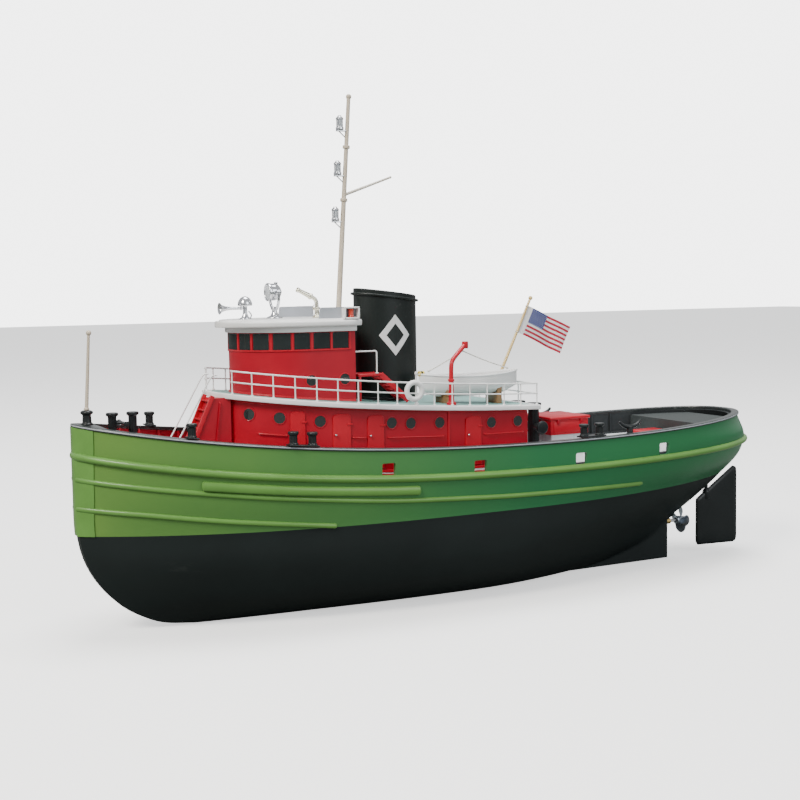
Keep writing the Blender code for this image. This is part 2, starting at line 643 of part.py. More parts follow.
def make_radio_gear():
    place("battery", box_mesh((22, -17, FLOOR + 1.2), (84, 17, 26), 1.0), (0.10, 0.16, 0.35), 0.5)
    place("speed_controller", box_mesh((-24, -11, FLOOR + 1.2), (4, 11, 12), 0.6), (0.04, 0.05, 0.05), 0.5)
    place("receiver", box_mesh((-104, 7, 37.0), (-76, 25, 47.0), 0.6), (0.03, 0.03, 0.03), 0.5)
    x = 122.0
    foot = float(deck_height(x)) + 1.0
    body = box_mesh((x - 7, -4, foot), (x + 7, 4, foot + 6), 0.4)
    switch = place("power_switch", body, (0.02, 0.02, 0.02), 0.5)
    cut(switch, box_mesh((x - 4.5, -1.8, foot + 3.5), (x + 4.5, 1.8, foot + 8)))
    slider = box_mesh((x - 4.0, -1.5, foot + 3.5 + GAP), (x - 1.0, 1.5, foot + 9), 0.2)
    place("switch_slider", slider, (0.5, 0.02, 0.02), 0.4)


def make_hatches():
    lids = (("aft_hatch", HATCH, 95.0, 10.4), ("lazarette_hatch", LAZARETTE, 80.6, 2.6))
    for name, hole, top, tall in lids:
        aft, fore, half = hole
        wall = 1.6
        inner = wall + GAP
        outer = inner + 1.2
        lid = box_mesh((aft - outer, -half - outer, top - tall), (fore + outer, half + outer, top), 0.3)
        brim = box_mesh((aft - outer - 1.1, -half - outer - 1.1, top - 1.8),
                        (fore + outer + 1.1, half + outer + 1.1, top + 0.2), 0.3)
        cover = fuse(name, [lid, brim], RED, 0.4)
        cut(cover, box_mesh((aft - inner, -half - inner, 60), (fore + inner, half + inner, top - 1.5)))


# ---- cabin ------------------------------------------------------------------------------


def make_house():
    x, y = house_half(*HOUSE)
    front, aft, half, aft_half = HOUSE
    wall = 1.8
    inner_x, inner_y = house_half(front - wall, aft + wall, half - wall, aft_half - wall)
    base = lambda s: deck_height(s) + GAP
    top = lambda s: boat_deck_height(s) - UNDER_DECK - GAP
    outer = (outline_at(x, y, base), outline_at(x, y, top))
    inner = (outline_at(inner_x, inner_y, top), outline_at(inner_x, inner_y, base))
    place("deckhouse", ring_mesh(*outer, *inner), RED, 0.4)
    x, y = house_half(*BOAT_DECK)
    place("boat_deck", slab_mesh(x, y, lambda s: boat_deck_height(s) - UNDER_DECK, boat_deck_height),
          (0.45, 0.62, 0.60), 0.5)


def pilot_plan(outset, visor=0.0, count=18):
    """Port half of the pilothouse plan moved out by outset, its nose by visor more."""
    nose, aft = PILOT_NOSE + outset + visor, PILOT_AFT - outset
    half = PILOT_HALF + outset
    mid = aft + (nose - aft) * 0.35
    x = np.concatenate([stations(mid, nose, count), [aft]])
    u = np.clip((x - mid) / (nose - mid), 0, 1)
    return x, half * (1 - u ** 2.3) ** 0.52


def make_pilothouse():
    x, y = pilot_plan(0.0)
    xi, yi = pilot_plan(-1.8)
    base = lambda s: boat_deck_height(s) + GAP
    top = ROOF_Z - 3.3 - GAP
    place("pilothouse", ring_mesh(outline_at(x, y, base), outline_at(x, y, top),
                                  outline_at(xi, yi, top), outline_at(xi, yi, base)), RED, 0.4)
    x, y = pilot_plan(1.6)
    fascia = slab_mesh(x, y, ROOF_Z - 3.3, ROOF_Z + 0.5)
    x, y = pilot_plan(5.2, 2.4)
    slab = slab_mesh(x, y, ROOF_Z, ROOF_Z + 2.4)
    x, y = pilot_plan(2.8, 2.0)
    crown = slab_mesh(x, y, ROOF_Z + 1.0, ROOF_Z + 3.2)
    fuse("pilothouse_roof", [slab, fascia, crown], WHITE, 0.4)


def oval(x, half_x, half_y, z, count=28):
    angles = np.linspace(0, 2 * math.pi, count, endpoint=False)
    ax = x + half_x * np.cos(angles)
    slope = (ax - x) * 0.125
    return [(a, b, z + c) for a, b, c in zip(ax, half_y * np.sin(angles), slope)]


def make_funnel():
    """Oval stack with a lip near its top, open inside the crown and down to the boat deck."""
    a, b = FUNNEL_HALF
    wall = 1.6
    foot = [(p[0], p[1], float(boat_deck_height(p[0])) + GAP) for p in oval(FUNNEL_X, a, b, 0)]
    hole = [(p[0], p[1], float(boat_deck_height(p[0])) + GAP)
            for p in oval(FUNNEL_X, a - wall, b - wall, 0)]
    stack = ring_mesh(foot, oval(FUNNEL_X, a, b, FUNNEL_TOP), oval(FUNNEL_X, a - wall, b - wall, FUNNEL_TOP),
                      hole)
    lip = ring_mesh(oval(FUNNEL_X, a + 1.5, b + 1.5, FUNNEL_TOP - 3.6),
                    oval(FUNNEL_X, a + 1.5, b + 1.5, FUNNEL_TOP - 2.2),
                    oval(FUNNEL_X, a - 0.8, b - 0.8, FUNNEL_TOP - 2.2),
                    oval(FUNNEL_X, a - 0.8, b - 0.8, FUNNEL_TOP - 3.6))
    fuse("funnel", [stack, lip], BLACK, 0.35)


def rail_run(side):
    """Rail stations from the ladder gap at the front, along one side, to the aft corner."""
    gate, sign = GATE[side], 1 if side == "port" else -1
    front, aft, half, aft_half = BOAT_DECK
    x, y = house_half(front - 1.6, aft + 1.6, half - 1.6, aft_half - 1.6, count=40, straight=4)
    start_x = float(np.interp(gate, y[:20], x[:20]))
    round_front = [k for k in np.linspace(0, 39, 9).astype(int)[1:] if y[k] > gate + 2.0]
    posts = round_front + [40, 41, 42]
    return np.append(start_x, x[posts]), np.append(gate, y[posts]) * sign


def make_rails():
    for side in GATE:
        x, y = rail_run(side)
        z = boat_deck_height(x)
        aft = [(x[-1], y[-1] * f) for f in (0.62, 0.06)]
        wires = []
        for height in (RAIL_TOP, RAIL_MID):
            points = [(a, b, c + height) for a, b, c in zip(x, y, z)]
            points += [(a, b, float(z[-1]) + height) for a, b in aft]
            wires.append(tube_mesh(points, 0.55, 4))
        along = np.concatenate([[0], np.cumsum(np.hypot(np.diff(x), np.diff(y)))])
        spots = np.linspace(along[0], along[-1], 10)
        posts = [(float(np.interp(s, along, x)), float(np.interp(s, along, y))) for s in spots] + aft
        for a, b in posts:
            foot = float(boat_deck_height(a)) + GAP
            wires.append(drum_mesh((a, b, foot), (a, b, foot + RAIL_TOP), 0.5, sides=4))
        fuse(f"boat_deck_rail_{side}", wires, WHITE, 0.35)


def prism_mesh(outline, low, high):
    """Prism along Y with an outline in X and Z."""
    bm = bmesh.new()
    ends = [[bm.verts.new((x, y, z)) for x, z in outline] for y in (low, high)]
    for j in range(len(outline)):
        k = (j + 1) % len(outline)
        bm.faces.new((ends[0][j], ends[1][j], ends[1][k], ends[0][k]))
    for end in ends:
        bm.faces.new(end)
    return finish_mesh("prism", bm)


def make_front_ladder():
    """Red ladder on a closed sloping trunk, port of the centreline, with a handrail at each side."""
    head = Vector((151.2, LADDER_Y, 118.4))
    foot = Vector((166.1, LADDER_Y, float(deck_height(166.1)) + 1.2))
    trunk_top = float(boat_deck_height(150.0)) - UNDER_DECK - 0.6
    slope = (head.x - foot.x) / (head.z - foot.z)
    top_x = foot.x + slope * (trunk_top - foot.z) - 0.4
    back_x = HOUSE[0] + 0.6
    pieces = [prism_mesh([(back_x, foot.z), (foot.x - 0.4, foot.z), (top_x, trunk_top), (back_x, trunk_top)],
                         LADDER_Y - 5.6, LADDER_Y + 5.6)]
    for side in (Vector((0, -6, 0)), Vector((0, 6, 0))):
        pieces.append(tube_mesh([head + side, foot + side], 0.9, 6))
    for k in range(6):
        at = foot.lerp(head, (k + 0.6) / 6)
        pieces.append(drum_mesh(at - Vector((0, 6, 0)), at + Vector((0, 6, 0)), 0.7, sides=6))
    for y in (-6.6, 6.6):
        pieces.append(tube_mesh([head + Vector((0.2, y, 0.2)), head + Vector((0.2, y, 11)),
                                 foot + Vector((2.0, y, 12)), foot + Vector((0.2, y, 1.5))], 0.5, 6))
    fuse("front_ladder", pieces, RED, 0.4)


def make_aft_stairs():
    """Landing beside the funnel with steps down to the boat deck, and a handrail."""
    pieces = [box_mesh((60.5, 14.2, 125.2), (74.5, 27.0, 126.8))]
    top, low = Vector((61.1, 0, 126.0)), Vector((44.5, 0, 111.9))
    for y in (15.4, 26.4):
        pieces.append(box_mesh_between(top, low, y))
    for k in range(6):
        at = low.lerp(top, (k + 0.7) / 6.5)
        pieces.append(box_mesh((at.x - 1.5, 15.0, at.z - 0.4), (at.x + 1.5, 26.8, at.z + 0.4)))
    leg = float(boat_deck_height(72.0)) + GAP
    for y in (15.4, 26.0):
        pieces.append(box_mesh((72.4, y - 0.7, leg), (74.0, y + 0.7, 125.6)))
    top_rail = [(73.4, 26.2, 126), (73.4, 26.2, 138), (63.5, 26.2, 138.2), (63.0, 26.2, 126)]
    pieces.append(tube_mesh(top_rail, 0.5, 6))
    fuse("aft_stairs", pieces, RED, 0.4)


def box_mesh_between(top, low, y):
    """Stair string: a flat bar on edge from the landing to the deck."""
    bm = bmesh.new()
    rows = []
    for end in (top, low):
        rows.append([bm.verts.new((end.x, y + a, end.z + b)) for a, b in
                     ((-0.6, -1.6), (0.6, -1.6), (0.6, 1.2), (-0.6, 1.2))])
    for j in range(4):
        bm.faces.new((rows[0][j], rows[1][j], rows[1][(j + 1) % 4], rows[0][(j + 1) % 4]))
    bm.faces.new(rows[0])
    bm.faces.new(rows[1])
    return finish_mesh("string", bm)


def lifeboat_half(t, depth, inset):
    mx, my, half_l, half_b = LIFEBOAT
    x = mx + (half_l - inset) * t
    b = (half_b - inset) * (1 - np.abs(t) ** 2.4) ** 0.8
    return x, b * (1 - depth ** 2.6) ** 0.6


def make_lifeboat():
    """Open boat on two chocks."""
    mx, my = LIFEBOAT[:2]

    def solid(inset, floor):
        loops = []
        for t in np.linspace(-1, 1, 13):
            section = []
            for depth in (0.0, 0.4, 0.75, 0.97):
                x, b = lifeboat_half(t, depth, inset)
                rise = 1.6 * abs(t) ** 2
                keel = 112.2 + inset + 4.5 * abs(t) ** 4
                gunwale = 123.2 + rise + (3.0 if floor else 0.0)
                section.append((x, b + 0.35 - 0.1 * depth, gunwale + (keel - gunwale) * depth))
            loops.append([(a, my + b, c) for a, b, c in section]
                         + [(a, my - b, c) for a, b, c in reversed(section)])
        return loops_mesh(loops)

    chocks = []
    for x in (mx - 16, mx + 16):
        foot = float(boat_deck_height(x)) + GAP
        chocks.append(box_mesh((x - 1.5, my - 6.5, foot), (x + 1.5, my + 6.5, 114.5)))
    boat = fuse("lifeboat", [solid(0.0, 0)] + chocks, WHITE, 0.4)
    cut(boat, solid(1.1, 1))


def make_davit():
    x, y = 25.5, 39.0
    foot = float(boat_deck_height(x)) + GAP
    profile = [(0, foot), (2.6, foot), (2.6, foot + 1.4), (1.4, foot + 2.2), (1.4, foot + 12), (0, foot + 12)]
    post = turned_mesh(profile, (x, y, 0), sides=12)
    neck = [(x, y, foot + 10), (x, y, 129), (x - 1.2, y - 0.6, 132), (x - 12.5, y - 6.5, 140.5)]
    arm = tube_mesh(neck, 1.3)
    head = drum_mesh((x - 12.5, y - 6.5, 138.2), (x - 12.5, y - 6.5, 142.2), 1.7, sides=10)
    fuse("davit", [post, arm, head], RED, 0.4)
    hang = (15.0, 32.5, 137.2)
    boat_ends = ((31.5, 24.0, 126.2), (-19.5, 24.0, 125.8))
    wires = [tube_mesh([hang, end], 0.35, 6) for end in boat_ends]
    fuse("boat_falls", wires + [ball_mesh(hang, 0.75)], (0.75, 0.75, 0.72), 0.6)


def make_mast():
    foot, head = Vector(MAST_FOOT), Vector(MAST_HEAD)
    pole = drum_mesh(foot, head, 1.55, 1.0, 12)
    parts = [pole, ball_mesh(head, 1.5)]
    for z in (219.1, 247.3):
        at = foot.lerp(head, (z - foot.z) / (head.z - foot.z))
        up = (head - foot).normalized()
        parts.append(drum_mesh(at - up * 0.8, at + up * 0.8, 1.9, sides=12))
    at = foot.lerp(head, (221.8 - foot.z) / (head.z - foot.z))
    parts.append(drum_mesh(at, (40.3, 0, 231.9), 0.85, 0.65, 8))
    shelves = []
    for k, z in enumerate((211.6, 236.1, 260.0)):
        on_mast = foot.lerp(head, (z - foot.z) / (head.z - foot.z))
        middle = on_mast + Vector((4.6, 0, 0))
        shelves.append(box_mesh((on_mast.x, -0.9, z - 4.6), (middle.x + 2.0, 0.9, z - 3.9)))
        lamp = [(0, z - 3.6), (2.2, z - 3.6), (2.2, z - 2.4), (1.8, z - 2.0), (1.8, z + 1.6), (2.2, z + 2.0),
                (1.4, z + 3.6), (0, z + 3.9)]
        place(f"mast_lamp_{k + 1}", turned_mesh(lamp, (middle.x, 0, 0), sides=14), STEEL, 0.2, 0.9)
    fuse("mast", parts + shelves, WOOD, 0.5)


ROOF_TOP = ROOF_Z + 3.2 + GAP


def make_roof_gear():
    base = drum_mesh((126.5, 0, ROOF_TOP), (126.5, 0, 163.5), 1.6, sides=10)
    dome = turned_mesh([(0, 163.3), (3.6, 163.3), (3.9, 164.1), (3.3, 166.2), (1.8, 167.8), (0, 168.4)],
                       (126.5, 0, 0))
    trumpet = turned_mesh([(0, 0), (0.7, 0), (0.9, 9), (1.8, 11.5), (3.2, 12.6), (2.6, 12.6), (0, 11.0)],
                          (128.0, 0, 162.2), (1, 0, 0.0), 12)
    fuse("horn", [base, dome, trumpet], STEEL, 0.2, 0.9)
    sx = 110.0
    foot = turned_mesh([(0, ROOF_TOP), (4.2, ROOF_TOP), (4.2, ROOF_TOP + 0.8), (1.5, ROOF_TOP + 2.2),
                        (1.5, 162.0), (0, 162.0)], (sx, 0, 0))
    half_fork = [(sx, 6.4, 170.3), (sx, 6.4, 165.0), (sx, 4.2, 161.6)]
    other_half = [(sx, -y, z) for _, y, z in reversed(half_fork)]
    fork = tube_mesh(half_fork + [(sx, 0, 161.0)] + other_half, 0.8, 6)
    fuse("searchlight_stand", [foot, fork], STEEL, 0.25, 0.9, origin=(sx, 0, 170.3))
    bowl = [(0, -4.0), (2.2, -3.6), (4.4, -1.5), (4.8, 0.5), (4.8, 4.2), (4.1, 4.2), (4.1, 3.2), (0, 3.2)]
    lamp = turned_mesh(bowl, (sx, 0, 170.3), (1, 0, 0), 20)
    place("searchlight_head", lamp, STEEL, 0.15, 1.0, origin=(sx, 0, 170.3))
    pipe = [(88.4, 6, ROOF_TOP), (88.4, 6, 164.0), (89.5, 6, 166.4), (92.0, 6, 167.8), (99.5, 6, 171.6)]
    base = drum_mesh((88.4, 6, ROOF_TOP), (88.4, 6, ROOF_TOP + 1.2), 2.4, sides=12)
    barrel = drum_mesh((91.0, 6, 167.3), (99.8, 6, 171.8), 1.5, 1.1, 10)
    fuse("fire_monitor", [tube_mesh(pipe, 1.0), base, barrel], BRASS, 0.35, 0.8)
    for side, y in (("starboard", -28.0), ("port", 28.0)):
        board = box_mesh((75.5, y - 0.6, ROOF_TOP), (97.0, y + 0.6, 162.2))
        shelf = box_mesh((75.5, min(y, y * 1.17), ROOF_TOP + 0.4), (84.5, max(y, y * 1.17), ROOF_TOP + 1.2))
        lamp = drum_mesh((79.5, y * 1.09, ROOF_TOP + 0.8), (79.5, y * 1.09, 161.0), 1.8, sides=12)
        fuse(f"light_board_{side}", [board, shelf, lamp], GREY, 0.4)


def make_flag():
    foot, head = Vector(STAFF[0]), Vector(STAFF[1])
    fuse("flagstaff", [drum_mesh(foot, head, 0.9, 0.7, 10), ball_mesh(head, 1.3),
                       box_mesh((-25.5, -1.8, float(boat_deck_height(-23)) + GAP), (-20.5, 1.8, 109.0))],
         WOOD, 0.5)
    up = (head - foot).normalized()
    corners = [foot.lerp(head, 0.92), foot.lerp(head, 0.655)]
    loops = []
    for s in np.linspace(0, 1, 9):
        lean = Vector((-1.3 - 29.0 * s, 1.6 * math.sin(2 * math.pi * s) * s, -12.5 * s))
        top, low = corners[0] + lean, corners[1] + lean + up * 1.5 * s
        loops.append([top + Vector((0, -0.2, 0)), top + Vector((0, 0.2, 0)), low + Vector((0, 0.2, 0)),
                      low + Vector((0, -0.2, 0))])
    place("flag", loops_mesh(loops), (0.7, 0.1, 0.12), 0.8)


make_hull()
make_guard()
make_cap_rail()
make_decks()
make_bollards()
make_tow_bitt()
make_drive()
make_rudder()
make_steering()
make_radio_gear()
make_hatches()
make_house()
make_pilothouse()
make_funnel()
make_rails()
make_front_ladder()
make_aft_stairs()
make_lifeboat()
make_davit()
make_mast()
make_roof_gear()
make_flag()
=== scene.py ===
"""Looks of a radio-controlled harbour tug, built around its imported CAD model.

Axes: +X to the bow, +Y to port, +Z up. Shapes are worked out in millimetres and made in metres.
"""
import math

import bpy
import numpy as np
from mathutils import Matrix, Vector


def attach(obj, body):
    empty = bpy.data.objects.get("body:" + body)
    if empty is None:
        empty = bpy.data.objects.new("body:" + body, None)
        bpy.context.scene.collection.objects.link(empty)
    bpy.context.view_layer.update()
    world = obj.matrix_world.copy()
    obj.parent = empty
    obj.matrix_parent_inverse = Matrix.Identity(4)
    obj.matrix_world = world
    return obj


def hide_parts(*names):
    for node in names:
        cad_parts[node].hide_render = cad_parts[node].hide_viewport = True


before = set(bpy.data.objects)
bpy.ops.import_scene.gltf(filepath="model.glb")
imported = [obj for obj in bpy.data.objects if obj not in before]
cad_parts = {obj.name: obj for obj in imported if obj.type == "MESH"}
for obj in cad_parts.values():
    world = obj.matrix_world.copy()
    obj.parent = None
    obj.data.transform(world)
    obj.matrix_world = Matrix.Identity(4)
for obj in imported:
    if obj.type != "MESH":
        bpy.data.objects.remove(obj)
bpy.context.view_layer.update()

MM = 0.001
ACROSS = np.array([1.0, -1.0, 1.0])   # flips a point to the other side of the centreline

# ---- view -----------------------------------------------------------------------------
SWING = math.radians(27.18)   # camera heading, off the boat's beam towards the bow
DIP = math.radians(-5.06)     # camera pitch
ROLL = math.radians(-0.87)
LENS, SENSOR = 57.46, 36.0     # focal length and film width
EYE = (0.3605, 0.6312, 0.1720)


def set_camera():
    """Camera off the port bow, a little above the rail."""
    look = Vector((-math.sin(SWING) * math.cos(DIP), -math.cos(SWING) * math.cos(DIP), math.sin(DIP)))
    right = look.cross(Vector((0, 0, 1))).normalized()
    up = right.cross(look)
    right, up = (right * math.cos(ROLL) + up * math.sin(ROLL),
                 up * math.cos(ROLL) - right * math.sin(ROLL))
    camera = bpy.data.objects.new("view_camera", bpy.data.cameras.new("view_camera"))
    camera.data.lens = LENS
    camera.data.sensor_width = SENSOR
    camera.data.clip_start = 0.01
    axes = Matrix((right, up, -look)).transposed().to_4x4()
    camera.matrix_world = Matrix.Translation(EYE) @ axes
    bpy.context.scene.collection.objects.link(camera)
    bpy.context.scene.camera = camera


set_camera()


# ---- meshes ---------------------------------------------------------------------------
def unit(v):
    """v / |v|, row by row."""
    return v / np.maximum(np.linalg.norm(v, axis=-1, keepdims=True), 1e-12)


def rounded(points, cut, closed=False, steps=4):
    """Polyline with each corner replaced by a quadratic curve that starts and ends cut away from it."""
    points = np.asarray(points, float)
    back, ahead = np.roll(points, 1, axis=0), np.roll(points, -1, axis=0)
    reach_back = np.linalg.norm(back - points, axis=1, keepdims=True)
    reach_ahead = np.linalg.norm(ahead - points, axis=1, keepdims=True)
    a = points + (back - points) * np.minimum(cut / np.maximum(reach_back, 1e-9), 0.45)
    b = points + (ahead - points) * np.minimum(cut / np.maximum(reach_ahead, 1e-9), 0.45)
    s = np.linspace(0, 1, steps)[None, :, None]
    curve = (1 - s) ** 2 * a[:, None] + 2 * s * (1 - s) * points[:, None] + s ** 2 * b[:, None]
    if closed:
        return curve.reshape(-1, points.shape[1])
    inner = curve[1:-1].reshape(-1, points.shape[1])
    return np.concatenate([points[:1], inner, points[-1:]])


def ring_angles(sides):
    """Angles 2 pi k / sides of a closed ring."""
    return np.linspace(0, 2 * math.pi, sides, endpoint=False)


class Shape:
    """Closed skins gathered into one mesh."""

    def __init__(self):
        self.points, self.faces, self.paints, self.uvs = [], [], [], []
        self.count = 0

    def skin(self, grid, along=False, caps="fan", paint=0, uv=None):
        """Skin over grid[i, j]: j goes round a loop, i runs from loop to loop and joins up if along."""
        rows, cols = grid.shape[:2]
        index = np.arange(rows * cols).reshape(rows, cols)
        points = grid.reshape(-1, 3)
        row_paint = np.broadcast_to(np.asarray(paint), (rows,))
        looped = np.vstack([index, index[:1]]) if along else index
        near, far = looped[:-1], looped[1:]
        quads = np.stack([near, np.roll(near, -1, 1), np.roll(far, -1, 1), far], -1).reshape(-1, 4)
        faces = [quads]
        paints = [np.repeat(row_paint if along else row_paint[:-1], cols)]
        if not along:
            for row, turn in ((index[0], 1), (index[-1], -1)):
                tone = row_paint[0] if turn == 1 else row_paint[-1]
                if caps == "ladder":
                    back = row[::-1]
                    half = cols // 2
                    cap = np.stack([row[:half - 1], back[:half - 1], back[1:half], row[1:half]], -1)
                else:
                    middle = np.full(cols, len(points))
                    points = np.vstack([points, points[row].mean(axis=0)])
                    cap = np.stack([middle, np.roll(row, -1), row], -1)
                faces.append(cap[:, ::turn])
                paints.append(np.full(len(cap), tone))
        volume = sum(np.einsum("ij,ij->i", points[f[:, 0]],
                               np.cross(points[f[:, k]], points[f[:, k + 1]])).sum()
                     for f in faces for k in range(1, f.shape[1] - 1))
        if volume < 0:
            faces = [f[:, ::-1] for f in faces]
        self.faces += [f + self.count for f in faces]
        self.paints += paints
        self.points.append(points)
        if uv is not None:
            flat = uv.reshape(-1, 2)
            self.uvs.append(np.vstack([flat, np.repeat(flat[:1], len(points) - len(flat), axis=0)]))
        self.count += len(points)
        return self

    def mirrored(self):
        """Add a copy of everything so far on the other side of the centreline."""
        shift = self.count
        self.faces += [f[:, ::-1] + shift for f in self.faces]
        self.paints += list(self.paints)
        self.points += [p * ACROSS for p in self.points]
        self.count *= 2
        return self

    def make(self, name, finishes, body, slot=None, replaces=(), sharp=35.0):
        """One mesh object from the skins, smooth except at edges sharper than sharp degrees."""
        finishes = finishes if isinstance(finishes, (list, tuple)) else [finishes]
        points = np.concatenate(self.points) * MM
        sizes = np.concatenate([np.full(len(f), f.shape[1]) for f in self.faces])
        corners = np.concatenate([f.reshape(-1) for f in self.faces])
        mesh = bpy.data.meshes.new(name)
        mesh.vertices.add(len(points))
        mesh.vertices.foreach_set("co", points.reshape(-1))
        mesh.loops.add(len(corners))
        mesh.loops.foreach_set("vertex_index", corners)
        mesh.polygons.add(len(sizes))
        mesh.polygons.foreach_set("loop_start", np.concatenate([[0], np.cumsum(sizes)[:-1]]))
        mesh.polygons.foreach_set("material_index", np.concatenate(self.paints).astype(np.int32))
        mesh.update(calc_edges=True)
        if self.uvs:
            layer = mesh.uv_layers.new(name="cloth")
            layer.data.foreach_set("uv", np.concatenate(self.uvs)[corners].reshape(-1))
        mesh.shade_smooth()
        mesh.set_sharp_from_angle(angle=math.radians(sharp))
        for finish in finishes:
            mesh.materials.append(finish)
        thing = bpy.data.objects.new(name, mesh)
        bpy.context.scene.collection.objects.link(thing)
        settle(thing, body, replaces)
        return thing


def settle(thing, body, replaces=()):
    """Attach a piece to the body it moves with and hide the CAD nodes it stands for."""
    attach(thing, body)
    if replaces:
        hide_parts(*([replaces] if isinstance(replaces, str) else replaces))


def turned(shape, profile, foot, axis=(0, 0, 1), sides=32, soften=0.15, flutes=0, flute_depth=0.0, paint=0):
    """Profile of (radius, height) turned about an axis; flutes ripple the radius by a cosine of the angle."""
    line = rounded(profile, soften) if soften else np.asarray(profile, float)
    radius, height = np.maximum(line[:, 0], 0.02), line[:, 1]
    angle = ring_angles(sides)
    radius = radius[:, None] * np.ones(sides)
    if flutes:
        waist = (radius < np.max(radius) * 0.85) & (radius > 0.5)
        radius = radius - waist * flute_depth * (1 + np.cos(flutes * angle)) / 2
    axis = np.asarray(Vector(axis).normalized())
    side = unit(np.cross(axis, (0.0, 1.0, 0.0) if abs(axis[1]) < 0.9 else (1.0, 0.0, 0.0)))
    other = np.cross(axis, side)
    grid = (np.asarray(foot, float) + height[:, None, None] * axis
            + radius[..., None] * (np.cos(angle)[:, None] * side + np.sin(angle)[:, None] * other))
    return shape.skin(grid, paint=paint)


def pipe(shape, path, radius, sides=12, soften=0.0, closed=False, paint=0):
    """Round wire: a circle carried along a path, square to its direction."""
    path = rounded(path, soften, closed, 6) if soften else np.asarray(path, float)
    if closed:
        along = unit(np.roll(path, -1, axis=0) - np.roll(path, 1, axis=0))
    else:
        along = unit(np.gradient(path, axis=0))
    guide = np.eye(3)[np.argmin(np.abs(along).max(axis=0))]
    side = unit(np.cross(along, guide))
    other = np.cross(along, side)
    angle = ring_angles(sides)[None, :, None]
    radius = np.broadcast_to(radius, len(path))[:, None, None]
    grid = path[:, None] + radius * (np.cos(angle) * side[:, None] + np.sin(angle) * other[:, None])
    return shape.skin(grid, along=closed, paint=paint)


def plate(shape, outline, y0, y1):
    """Upright plate: an outline of (x, z) carried straight across from y0 to y1."""
    rings = [np.stack([outline[:, 0], np.full(len(outline), y), outline[:, 1]], axis=1) for y in (y0, y1)]
    return shape.skin(np.stack(rings))


def ball(shape, centre, radius, sides=24, flat=1.0, paint=0):
    """Sphere, or a flattened one: circles whose radius follows the sine of the polar angle."""
    polar = np.linspace(0.03, math.pi - 0.03, sides // 2)
    profile = np.stack([radius * np.sin(polar), -radius * flat * np.cos(polar)], axis=1)
    return turned(shape, profile, centre, sides=sides, soften=0, paint=paint)


def slab(shape, x, y, low, high, edge=0.4, middle=0.0, steps=5, paint=0):
    """Plate over stations x: each section is a rectangle of half width y with its corners rounded by edge."""
    x, y = np.asarray(x, float), np.broadcast_to(np.asarray(y, float), len(x))
    low, high = np.broadcast_to(low, len(x)), np.broadcast_to(high, len(x))
    edge = np.minimum(np.minimum(edge, y * 0.9), (high - low) * 0.49)[:, None]
    quarter = np.linspace(0, math.pi / 2, steps)
    angle = np.concatenate([quarter, quarter + math.pi / 2, quarter + math.pi, quarter + 1.5 * math.pi])[None]
    right = np.concatenate([np.ones(steps), -np.ones(2 * steps), np.ones(steps)])[None]
    top = np.concatenate([np.ones(2 * steps), -np.ones(2 * steps)])[None]
    yy = right * (y[:, None] - edge) + edge * np.cos(angle)
    zz = np.where(top > 0, high[:, None] - edge, low[:, None] + edge) + edge * np.sin(angle)
    grid = np.stack([np.broadcast_to(x[:, None], yy.shape), yy + middle, zz], axis=-1)
    return shape.skin(grid, paint=paint)


def block(shape, low, high, edge=0.3, paint=0):
    """Box with rounded edges: its sections shrink by a quarter circle at both ends."""
    (x0, y0, z0), (x1, y1, z1) = low, high
    turn = np.linspace(0, math.pi / 2, 4)
    pull = edge * (1 - np.sin(turn))
    x = np.concatenate([x0 + edge * (1 - np.cos(turn)), x1 - edge * (1 - np.cos(turn[::-1]))])
    pull = np.concatenate([pull, pull[::-1]])
    return slab(shape, x, (y1 - y0) / 2 - pull, z0 + pull, z1 - pull, edge, (y0 + y1) / 2, 4, paint)


def plan_normals(path, closed):
    """Outward normals in plan of a path that goes from the bow down the port side."""
    if closed:
        step = np.roll(path, -1, axis=0) - np.roll(path, 1, axis=0)
    else:
        step = np.gradient(path, axis=0)
    return unit(np.stack([step[:, 1], -step[:, 0], np.zeros(len(path))], axis=1))


def band(shape, path, section, closed=True, scale=None, paint=0, normals=None):
    """Moulding: a closed section of (outset, rise) carried along a path by its normal in plan."""
    path, section = np.asarray(path, float), np.asarray(section, float)
    normals = plan_normals(path, closed) if normals is None else normals
    scale = np.ones(len(path)) if scale is None else scale
    grid = (path[:, None] + (scale[:, None] * section[None, :, 0])[..., None] * normals[:, None]
            + (scale[:, None] * section[None, :, 1])[..., None] * np.array([0.0, 0.0, 1.0]))
    return shape.skin(grid, along=closed, paint=paint)


def both_sides(half):
    """Closed outline from its port half, bow to stern."""
    return np.concatenate([half, half[::-1] * ACROSS])


def stations(low, high, count):
    """Values from high to low, close together at both ends."""
    return high + (low - high) * (1 - np.cos(np.linspace(0, math.pi, count))) / 2


# ---- hull lines -----------------------------------------------------------------------
HALF_LENGTH = 218.0
WATERLINE = 51.3
SHELL = 2.2
FLOOR = 3.0
DEADWOOD = 3.0
SKEG_END = -149.5
COUNTER_FOOT = -154.0
BULWARK = 13.0
RAIL_THICK = 1.4

